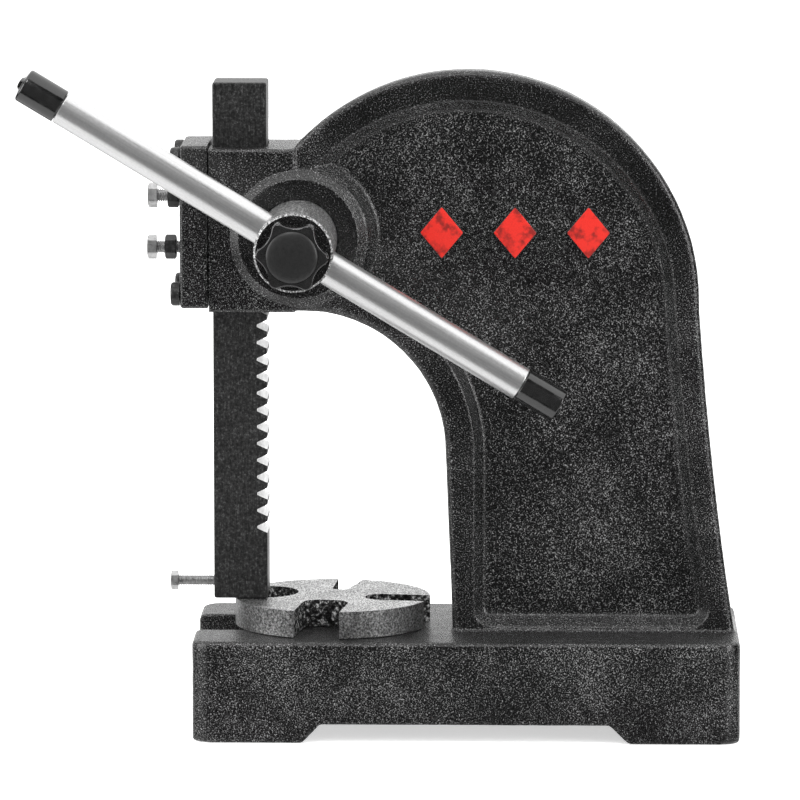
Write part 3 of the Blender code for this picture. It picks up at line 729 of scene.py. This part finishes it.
# Anvil plate: a round iron plate with four slots of different widths, cast with the slots in it. Its
# top and rim are machined bright, and the slots keep their black cast skin, with glints painted on it.
plate_underside = 0.0478
plate_top = 0.0605
plate_radius = 0.0462
plate_edge = 0.00045
pin_bore_radius = 0.0063
pin_bore_depth = 0.0070
# Each slot has a direction in degrees, how far from the middle it ends, its widths at the mouth and at
# the end, and the radius of its corners.
slots = {
    "wide": (164, 0.0180, 0.0320, 0.0320, 0.0155),
    "front": (262, 0.0125, 0.0216, 0.0216, 0.0085),
    "back": (81, 0.0172, 0.0128, 0.0070, 0.0022),
    "right": (-9, 0.0158, 0.0165, 0.0165, 0.0080),
}
slot_overrun = 0.004
under_plate = 0.040
over_plate = 0.070


def added(first, first_share, second, second_share):
    """The sum of a share of one value and a share of another."""
    first_part = mixed("MULTIPLY", first, first_share)
    return mixed("ADD", first_part, mixed("MULTIPLY", second, second_share))


milled_iron, shader, place = new_finish("milled_iron", 0.40, 0.92)
mill_specks = grain(drawn_out(place, (1500, 480, 1500)), 1.0, 3.0, 0.7)
mill_patches = grain(place, 55, 3.0)
mill_sum = added(mill_specks, 0.75, mill_patches, 0.25)
coloured(shader, mill_sum, (0.39, 0.05), (0.48, 0.26), (0.58, 0.72))
polished(shader, mill_patches, (0.35, 0.34), (0.65, 0.50))
roughened(shader, mill_specks, 0.00004)

turned_rim, shader, place = new_finish("turned_rim", 0.38, 0.85)
rim_clouds = grain(place, 1000, 4.0, 0.75)
coloured(shader, rim_clouds, (0.38, 0.04), (0.50, 0.17), (0.63, 0.46))
roughened(shader, rim_clouds, 0.00010)

# The slots' skin has no shine of its own; the brightest of its lumps are painted glints.
slot_skin_and_painted_glints, shader, place = new_finish("slot_skin_and_painted_glints", 0.50, shine=0.0)
skin_lumps_and_glints = grain(place, 520, 3.0, 0.7)
coloured(shader, skin_lumps_and_glints, (0.40, 0.004), (0.54, 0.030), (0.66, 0.40))
roughened(shader, skin_lumps_and_glints, 0.0004)


def rounded(piece, test, width, steps):
    """Rounds only the edges whose two ends pass the test together."""
    pick(piece)
    bpy.ops.object.mode_set(mode="EDIT")
    bpy.ops.mesh.select_mode(type="EDGE")
    bpy.ops.mesh.select_all(action="DESELECT")
    shape = bmesh.from_edit_mesh(piece.data)
    for edge in shape.edges:
        edge.select_set(test(edge.verts[0].co, edge.verts[1].co))
    shape.select_flush_mode()
    bmesh.update_edit_mesh(piece.data)
    bpy.ops.mesh.bevel(offset=width, segments=steps, affect="EDGES")
    bpy.ops.object.mode_set(mode="OBJECT")


def flattened(piece, angle=32):
    """Smooth shading that stays flat on flat faces and turns only in the rounded edges."""
    faired(piece, angle)
    return worked(piece, "WEIGHTED_NORMAL", keep_sharp=True, weight=50)


plate = rod("anvil_disc", plate_radius, plate_underside, plate_top, "Z", anvil_at, 192)
coated(plate, milled_iron, turned_rim)
for face in plate.data.polygons:
    face.material_index = int(abs(face.normal.z) < 0.5)
slot_tools = []
for name, (turn, end, mouth, end_width, corner) in slots.items():
    tool = block(
        f"{name}_slot_tool",
        (end, -mouth / 2, under_plate),
        (plate_radius + slot_overrun, mouth / 2, over_plate),
    )
    for corner_point in tool.data.vertices:
        if abs(corner_point.co.x - end) < same_place:
            corner_point.co.y *= end_width / mouth
    rounded(
        tool,
        lambda a, b: max(abs(a.x - end), abs(b.x - end), abs(a.y - b.y)) < same_place,
        corner,
        14,
    )
    tool.rotation_euler.z = math.radians(turn)
    tool.location.x = anvil_x
    coated(tool, slot_skin_and_painted_glints)
    slot_tools.append(settled(tool))
machined(plate, *slot_tools)
pin_drill = rod(
    "pin_drill", pin_bore_radius, under_plate, plate_underside + pin_bore_depth, "Z", anvil_at, 48
)
coated(pin_drill, cut_iron)
machined(plate, pin_drill)
broken_edges(plate, plate_edge, 3, 50)
flattened(plate)
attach(plate, "anvil")
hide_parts("anvil_plate")


# Ram: a square steel bar with a rack milled into its back face. It is blackened, and the milled tooth
# flanks are bright. Its foot has a socket for press tools, with a tapped hole from the front.
ram_half = 0.0127
ram_foot = 0.0610
ram_top = 0.3055
ram_edge = 0.0012
rack_low = 0.0952
rack_pitch = 0.0079796
rack_gaps = 20
rack_root_x = ram_x + 0.00786
rack_root_half = 0.00058
rack_root_fillet = 0.0003
rack_slope = math.tan(math.radians(25))
rack_tool_half = 0.02
rack_tool_overrun = 0.002
socket_radius = 0.0050
socket_drill_low = 0.050
socket_top = 0.0850
tool_screw_at = (0, 0, 0.0676)
tool_tap_radius = 0.0028
tool_tap_reach = 0.02

ram_steel, shader, place = new_finish("blackened_ram_steel", 0.40, 0.55)
scale_marks = grain(place, 900, 4.0, 0.7)
draw_marks = grain(drawn_out(place, (1500, 1500, 160)), 1.0, 3.0)
ram_sum = added(scale_marks, 0.7, draw_marks, 0.3)
coloured(shader, ram_sum, (0.42, 0.012), (0.55, 0.034), (0.66, 0.10))
polished(shader, draw_marks, (0.3, 0.34), (0.7, 0.50))
roughened(shader, ram_sum, 0.00005)

bright_steel, shader, place = new_finish("bright_milled_steel", 0.34, 0.75)
flank_marks = grain(drawn_out(place, (900, 60, 900)), 1.0, 2.0)
coloured(shader, flank_marks, (0.3, 0.62), (0.7, 0.86))
roughened(shader, flank_marks, 0.00003)

ram = block("ram_bar", (ram_x - ram_half, -ram_half, ram_foot), (ram_x + ram_half, ram_half, ram_top))
broken_edges(ram, ram_edge, 3)
coated(ram, ram_steel)
rack_tool = block(
    "rack_tool",
    (rack_root_x, -rack_tool_half, -rack_root_half),
    (ram_x + ram_half + rack_tool_overrun, rack_tool_half, rack_root_half),
)
for corner_point in rack_tool.data.vertices:
    half = rack_root_half + (corner_point.co.x - rack_root_x) * rack_slope
    corner_point.co.z = math.copysign(half, corner_point.co.z)
rounded(
    rack_tool,
    lambda a, b: max(a.x, b.x) < rack_root_x + same_place and abs(a.y - b.y) > rack_tool_half / 2,
    rack_root_fillet,
    3,
)
rack_tool.location.z = rack_low
settled(rack_tool)
worked(
    rack_tool, "ARRAY", count=rack_gaps, use_relative_offset=False, use_constant_offset=True,
    constant_offset_displace=(0, 0, rack_pitch),
)
coated(rack_tool, bright_steel)
socket_drill = rod("socket_drill", socket_radius, socket_drill_low, socket_top, "Z", (ram_x, 0, 0), 48)
screw_drill = rod("screw_drill", tool_tap_radius, ram_x - tool_tap_reach, ram_x, "X", tool_screw_at, 32)
for tool in (socket_drill, screw_drill):
    coated(tool, cut_iron)
machined(ram, rack_tool, socket_drill, screw_drill)
flattened(ram, 25)
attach(ram, "ram_slider")
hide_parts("ram")


# Tool screw: a zinc-plated hexagon screw through the ram's front face, which holds a tool's shank in
# the socket. Its thread shows between the head and the ram.
tool_screw_flats = 0.0080
tool_screw_front_x = -0.2427
tool_screw_back_x = -0.2392
tool_thread_start_x = -0.2400
tool_thread_end_x = -0.2147
m5_radius = 0.0025
m5_pitch = 0.0008
hexagon_turn = math.radians(23)
thread_crease = 28

zinc_plate, shader, place = new_finish("zinc_plate", 0.32, 0.88)
zinc_cloud = grain(place, 420, 3.0, 0.6)
coloured(shader, zinc_cloud, (0.3, 0.36), (0.7, 0.62))
polished(shader, zinc_cloud, (0.3, 0.26), (0.7, 0.38))
roughened(shader, zinc_cloud, 0.00002)


def threaded(name, radius, pitch, low, high, axis, at, around=28, rows_in_pitch=8):
    """A rod with a thread: its radius rises and falls once in each pitch, later all the way round."""
    depth = 0.60 * pitch
    rows = max(8, round((high - low) / pitch * rows_in_pitch))
    points, faces = [], []
    for row in range(rows + 1):
        level = low + (high - low) * row / rows
        fade = min(1.0, (level - low) / pitch, (high - level) / pitch)
        for step in range(around):
            turn = 2 * math.pi * step / around
            phase = (level / pitch - step / around) % 1.0
            crest = min(1.0, 1.25 * abs(2 * phase - 1))
            r = radius - depth * (1 - crest * fade)
            a, b = r * math.cos(turn), r * math.sin(turn)
            places = {"X": (level, a, b), "Y": (a, level, -b), "Z": (a, b, level)}
            points.append([c + d for c, d in zip(places[axis], at)])
    for row in range(rows):
        here, above = row * around, (row + 1) * around
        for step in range(around):
            after = (step + 1) % around
            faces.append([here + step, here + after, above + after, above + step])
    faces.append(list(range(around))[::-1])
    faces.append(list(range(rows * around, (rows + 1) * around)))
    mesh = bpy.data.meshes.new(name)
    mesh.from_pydata(points, [], faces)
    piece = bpy.data.objects.new(name, mesh)
    bpy.context.scene.collection.objects.link(piece)
    return piece


def hexagon(name, flats, low, high, at, turn, ends=(-1,)):
    """A hexagon along X, turned by an angle, its corners rounded off by a cone at one end or both."""
    piece = rod(name, flats / 2 / math.cos(math.pi / 6), low, high, "X", (0, 0, 0), 6)
    piece.rotation_euler.x = turn
    settled(piece)
    spread = 1 / math.tan(math.radians(30))
    for end in ends:
        narrow = flats / 2 * 0.96
        wide = narrow + (high - low) * spread
        radii = (narrow, wide) if end < 0 else (wide, narrow)
        cone = rod("corner_cone", radii[0], low, high, "X", (0, 0, 0), 96, radii[1])
        machined(piece, cone, operation="INTERSECT")
    piece.location = at
    return settled(piece)


tool_screw = hexagon(
    "nose_screw", tool_screw_flats, tool_screw_front_x, tool_screw_back_x, tool_screw_at, hexagon_turn
)
tool_thread = threaded(
    "nose_thread", m5_radius, m5_pitch, tool_thread_start_x, tool_thread_end_x, "X", tool_screw_at
)
machined(tool_screw, tool_thread, operation="UNION")
coated(tool_screw, zinc_plate)
faired(tool_screw, thread_crease)
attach(tool_screw, "nose_screw")
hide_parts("tool_screw")


# Gib strip: a flat ground steel bar between ram and face plate, which takes up the ram's play. Only
# its edge can be seen, beside the ram.
refinished("gib_strip", turned_steel)


# Face plate: a cast iron plate that closes the ram's channel in front. It has the same black skin as
# the casting, a flat machined back, a shallow pocket for the gib strip, and six screw holes.
face_back_x = -0.2236
face_front_x = -0.2366
face_half = 0.0250
face_low = 0.2004
face_high = 0.2769
face_allowance = 0.0016
face_corner = 0.0012
face_voxel = 0.0009
gib_pocket_x = -0.2248
gib_pocket_half = 0.0123
gib_pocket_end = 0.003
gib_screw_heights = {"upper": 0.2512, "lower": 0.2268}
plate_hole_radius = 0.0033
back_mill_half = 0.04
back_mill_low = 0.18
back_mill_high = 0.30
behind_plate_x = -0.21
before_plate_x = -0.25

face_stock = block(
    "front_plate",
    (face_front_x, -face_half, face_low),
    (face_back_x + face_allowance, face_half, face_high),
)
worked(face_stock, "BEVEL", width=face_corner, segments=2)
worked(face_stock, "REMESH", mode="VOXEL", voxel_size=face_voxel)
worked(face_stock, "SMOOTH", factor=0.5, iterations=4)
rumpled(face_stock, "plate_waves", 0.012, 0.00020)
rumpled(face_stock, "plate_grain", 0.0040, 0.00014)
coated(face_stock, black_paint)
tools = [
    block(
        "back_mill",
        (face_back_x, -back_mill_half, back_mill_low),
        (behind_plate_x, back_mill_half, back_mill_high),
    ),
    block(
        "gib_mill",
        (gib_pocket_x, -gib_pocket_half, face_low + gib_pocket_end),
        (behind_plate_x, gib_pocket_half, face_high - gib_pocket_end),
    ),
]
for y, z in plate_screw_places + [(0, z) for z in gib_screw_heights.values()]:
    tools.append(rod("plate_drill", plate_hole_radius, before_plate_x, behind_plate_x, "X", (0, y, z), 32))
for tool in tools:
    coated(tool, cut_iron)
machined(face_stock, *tools)
faired(face_stock, casting_crease)
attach(face_stock, "press_frame")
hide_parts("face_plate")


# Face plate screws: four M6 button screws with hexagon sockets, in black oxide.
button_seat_x = -0.2369
button_front_x = -0.2411
button_tip_x = -0.2096
button_radius = 0.0056
button_edge = 0.0015
button_socket_flats = 0.0040
button_socket_depth = 0.002
button_socket_start_x = -0.245
m6_radius = 0.0030
m6_pitch = 0.0010
thread_overlap = 0.001

black_oxide, shader, place = new_finish("black_oxide", 0.34, 0.35)
oxide_cloud = grain(place, 900, 3.0, 0.6)
coloured(shader, oxide_cloud, (0.35, 0.010), (0.60, 0.024), (0.75, 0.09))
roughened(shader, oxide_cloud, 0.00004)

for number, (y, z) in enumerate(plate_screw_places, start=1):
    at = (0, y, z)
    button = rod(f"button_screw_{number}", button_radius, button_front_x, button_seat_x, "X", at, 64)
    rounded(button, lambda a, b: max(a.x, b.x) < button_front_x + same_place, button_edge, 5)
    socket_tool = rod(
        "socket_tool",
        button_socket_flats / 2 / math.cos(math.pi / 6),
        button_socket_start_x,
        button_front_x + button_socket_depth,
        "X",
        at,
        6,
    )
    machined(button, socket_tool)
    thread_start_x = button_seat_x - thread_overlap
    button_thread = threaded("button_thread", m6_radius, m6_pitch, thread_start_x, button_tip_x, "X", at)
    machined(button, button_thread, operation="UNION")
    coated(button, black_oxide)
    faired(button, thread_crease)
    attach(button, "press_frame")
    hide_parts(f"face_plate_screw_{number}")


# Gib screws: two zinc-plated M6 screws press on the gib strip through the face plate, and a black
# nut locks each. They are set once, so they stay where they are when the press works.
gib_head_starts = {"upper": -0.2526, "lower": -0.2530}
gib_nut_ends = {"upper": -0.2380, "lower": -0.2393}
m6_flats = 0.0100
m6_head_height = 0.0043
m6_nut_height = 0.0054
nut_bore_radius = 0.0033

for position, z in gib_screw_heights.items():
    start = gib_head_starts[position]
    at = (0, 0, z)
    screw = hexagon(f"gib_set_screw_{position}", m6_flats, start, start + m6_head_height, at, hexagon_turn)
    thread_start_x = start + m6_head_height - thread_overlap
    shank = threaded("gib_thread", m6_radius, m6_pitch, thread_start_x, gib_pocket_x, "X", at)
    machined(screw, shank, operation="UNION")
    coated(screw, zinc_plate)
    faired(screw, thread_crease)
    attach(screw, "press_frame")
    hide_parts(f"gib_screw_{position}")
    end = gib_nut_ends[position]
    nut = hexagon(f"gib_nut_{position}", m6_flats, end - m6_nut_height, end, at, hexagon_turn, (-1, 1))
    machined(nut, rod("nut_drill", nut_bore_radius, end - drill_overrun, end + drill_overrun, "X", at, 32))
    coated(nut, black_oxide)
    faired(nut, thread_crease)
    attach(nut, "press_frame")
    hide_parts(f"gib_locknut_{position}")


# Bearing bush: a flanged bronze bush on the far side. It closes the bigger far bore after the toothed
# shaft has been put in, and it is the shaft's far bearing.
turned_edge = 0.0003

bronze, shader, place = new_finish("turned_bronze", 0.34, 1.0)
bronze_marks = grain(place, 700, 4.0, 0.7)
coloured(shader, bronze_marks, (0.35, (0.30, 0.19, 0.075)), (0.65, (0.62, 0.44, 0.20)))
roughened(shader, bronze_marks, 0.00003)

bush = cast_copy("bearing_bush", "shaft_bush")
broken_edges(bush, turned_edge)
coated(bush, bronze)
flattened(bush)
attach(bush, "press_frame")
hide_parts("bearing_bush")


# Pinion shaft: hub, journals and teeth are turned and milled from one steel bar. The hub stands out
# on the near side, and the lever bar goes through it. The hub's front face is painted black.
hub_front_y = -0.0855
hub_face_depth = 0.0001
tooth_edge = 0.00022

shaft = cast_copy("pinion_shaft", "toothed_shaft")
broken_edges(shaft, tooth_edge)
coated(shaft, turned_steel, black_paint)
for face in shaft.data.polygons:
    face.material_index = int(face.center.y < hub_front_y + hub_face_depth)
flattened(shaft)
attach(shaft, "pinion")
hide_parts("pinion_shaft")


# Shaft end: a zinc-plated washer and a black socket screw keep the shaft in its bearings.
washer = cast_copy("shaft_end_washer", "end_washer")
broken_edges(washer, turned_edge)
coated(washer, zinc_plate)
flattened(washer)
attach(washer, "pinion")
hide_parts("shaft_end_washer")

end_screw = cast_copy("shaft_end_screw", "end_screw")
broken_edges(end_screw, turned_edge)
coated(end_screw, black_oxide)
flattened(end_screw)
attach(end_screw, "pinion")
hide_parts("shaft_end_screw")


# Handle bar: a drawn steel bar with a satin finish, turned down at its ends for the caps. It slides
# through the hub.
bar_out_y = -0.0635
bar_slope = math.radians(31.1)
bar_low = -0.1458
bar_high = 0.1422
bar_radius = 0.0079
bar_edge = 0.0004
spigot_radius = 0.0060
spigot_inset = 0.0020
cap_length = 0.0200
cap_gap = 0.0003

satin_steel, shader, place = new_finish("satin_bar_steel", 0.30, 0.95)
lengthways = drawn_out(place, (1, 1, 1), (0, -bar_slope, 0))
bar_lines = grain(drawn_out(lengthways, (28, 1700, 1700)), 1.0, 2.0)
bar_cloud = grain(place, 900, 3.0, 0.7)
bar_sum = added(bar_lines, 0.5, bar_cloud, 0.5)
coloured(shader, bar_sum, (0.35, 0.68), (0.65, 0.82))
polished(shader, bar_sum, (0.35, 0.30), (0.65, 0.36))
roughened(shader, bar_sum, 0.000005)


def on_the_bar(piece):
    """Turns and moves a piece made along X at the origin to its place on the bar's line."""
    piece.rotation_euler.y = bar_slope
    piece.location = (pinion_x, bar_out_y, axis_height)
    return settled(piece)


shoulder = cap_length + cap_gap
bar = rod("lever_rod", bar_radius, bar_low + shoulder, bar_high - shoulder, "X", (0, 0, 0), 128)
spigots = rod(
    "spigots", spigot_radius, bar_low + spigot_inset, bar_high - spigot_inset, "X", (0, 0, 0), 64
)
machined(bar, spigots, operation="UNION")
broken_edges(bar, bar_edge)
coated(bar, satin_steel)
on_the_bar(bar)
flattened(bar)
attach(bar, "lever")
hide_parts("handle_bar")


# Bar caps: two black plastic caps pushed on the turned-down ends. The left one ends in a small cone,
# where it was moulded, and each has a thin rounded lip.
cap_radius = 0.0080
cap_wall = 0.0018
cap_lip = 0.0004
cap_bore_radius = spigot_radius + 0.0003
# Each cap has its end of the bar, the way out from it, the radius of its rim, and its end face from the
# rim inwards, as pairs of a radius and how far out the face lies there.
caps = {
    "left": (
        bar_low,
        -1,
        0.0013,
        ((0.0064, -0.0001), (0.0034, 0.0006), (0.0026, 0.0016), (0.0014, 0.0020), (0, 0.0020)),
    ),
    "right": (bar_high, 1, 0.0006, ((0.0062, -0.0003), (0, -0.0004))),
}

black_plastic, shader, place = new_finish("black_plastic", 0.24, shine=1.0)
plastic_cloud = grain(place, 260, 3.0, 0.6)
coloured(shader, plastic_cloud, (0.3, 0.004), (0.7, 0.008))
polished(shader, plastic_cloud, (0.3, 0.10), (0.7, 0.19))
roughened(shader, plastic_cloud, 0.00005)


def rounded_rim(radius, level, edge, way, steps=5):
    """Profile points of a rounded edge at the end of a body, from its side to its end face."""
    points = []
    for step in range(steps + 1):
        turn = math.pi / 2 * step / steps
        points.append((radius - edge * (1 - math.cos(turn)), level - way * edge * (1 - math.sin(turn))))
    return points


for side, (end, way, rim_edge, end_face) in caps.items():
    mouth = end - way * cap_length
    floor_at = end - way * cap_wall
    profile = [(0, floor_at), (cap_bore_radius, floor_at), (cap_bore_radius, mouth)]
    profile += [(cap_radius - cap_lip, mouth), (cap_radius, mouth + way * cap_lip)]
    profile += rounded_rim(cap_radius, end, rim_edge, way)
    profile += [(radius, end + way * out) for radius, out in end_face]
    cap = lathed(f"end_cap_{side}", profile, "X", (0, 0, 0))
    on_the_bar(cap)
    coated(cap, black_plastic)
    faired(cap, 40)
    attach(cap, "lever")
    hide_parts(f"bar_cap_{side}")


# Clamp stud: an M8 threaded stud moulded into the knob. Its end presses on the bar inside the hub.
stud_radius = 0.0040
stud_pitch = 0.00125
stud_front_y = -0.0978
stud_end_y = -0.0718

stud = threaded("knob_stud", stud_radius, stud_pitch, stud_front_y, stud_end_y, "Y", shaft_at)
coated(stud, zinc_plate)
faired(stud, thread_crease)
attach(stud, "stud")
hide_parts("clamp_stud")


# Clamp knob: a moulded black plastic knob with six lobes, on a round neck. A dished seat in its
# front face holds the cap.
knob_back_y = -0.0883
knob_front_y = -0.1013
knob_edge = 0.0008
knob_lobe_radius = 0.0166
knob_waist_radius = 0.0133
lobe_tip_radius = 0.0030
first_lobe = math.radians(-3)
lobe_centre = knob_lobe_radius - lobe_tip_radius
half_step = math.pi / 6
cap_seat_radius = 0.0120
cap_seat_depth = 0.0016
cap_seat_start_y = -0.12
neck_radius = 0.0085
neck_overlap = 0.002
neck_end_y = -0.0858
stud_bore_radius = 0.0043
stud_bore_front_y = -0.0981
stud_bore_end_y = -0.08


def valley_radius():
    """The radius of the hollow between two lobes that meets their rounded tips without a corner."""
    a, w, s = lobe_centre, knob_waist_radius, lobe_tip_radius
    spread = math.cos(half_step)
    return (a * a + w * w - 2 * a * w * spread - s * s) / (2 * s - 2 * w + 2 * a * spread)


def lobed(turn):
    """How far the knob's outline is from its middle, for an angle."""
    off = abs((turn - first_lobe + half_step) % (2 * half_step) - half_step)
    hollow = valley_radius()
    far = knob_waist_radius + hollow
    across, up = far * math.cos(half_step) - lobe_centre, far * math.sin(half_step)
    share = lobe_tip_radius / math.hypot(across, up)
    if off < math.atan2(up * share, lobe_centre + across * share):
        past_centre = math.sqrt(lobe_tip_radius**2 - (lobe_centre * math.sin(off)) ** 2)
        return lobe_centre * math.cos(off) + past_centre
    back = half_step - off
    return far * math.cos(back) - math.sqrt(hollow**2 - (far * math.sin(back)) ** 2)


knob = rod("lobed_knob", 1.0, knob_front_y, knob_back_y, "Y", (0, 0, 0), 216)
for point in knob.data.vertices:
    turn = math.atan2(point.co.z, point.co.x)
    point.co.x = pinion_x + lobed(turn) * math.cos(turn)
    point.co.z = axis_height + lobed(turn) * math.sin(turn)
broken_edges(knob, knob_edge, 4, 40)
seat_end_y = knob_front_y + cap_seat_depth
machined(knob, rod("cap_seat_tool", cap_seat_radius, cap_seat_start_y, seat_end_y, "Y", shaft_at, 96))
neck = rod("knob_neck", neck_radius, knob_back_y - neck_overlap, neck_end_y, "Y", shaft_at, 64)
machined(knob, neck, operation="UNION")
stud_bore = rod("stud_bore_tool", stud_bore_radius, stud_bore_front_y, stud_bore_end_y, "Y", shaft_at, 48)
machined(knob, stud_bore)
coated(knob, black_plastic)
flattened(knob, 30)
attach(knob, "knob")
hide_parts("clamp_knob")


# Knob cap: a low plastic dome, satin black, snapped into the knob's front face.
dome_radius = 0.01188
dome_rise = 0.0020
dome_back_y = knob_front_y + 0.0013
dome_rim_y = knob_front_y + 0.0001
dome_steps = 16

satin_plastic, shader, place = new_finish("satin_plastic", 0.42, shine=0.7)
dome_cloud = grain(place, 700, 3.0, 0.6)
coloured(shader, dome_cloud, (0.3, 0.004), (0.7, 0.008))
roughened(shader, dome_cloud, 0.00003)

dome = [(0, dome_back_y), (dome_radius, dome_back_y), (dome_radius, dome_rim_y)]
for step in range(1, dome_steps):
    turn = math.pi / 2 * step / dome_steps
    dome.append((dome_radius * math.cos(turn), knob_front_y - dome_rise * math.sin(turn)))
dome.append((0, knob_front_y - dome_rise))
knob_cover = lathed("knob_dome", dome, "Y", shaft_at)
coated(knob_cover, satin_plastic)
faired(knob_cover, 50)
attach(knob_cover, "knob")
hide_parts("knob_cap")
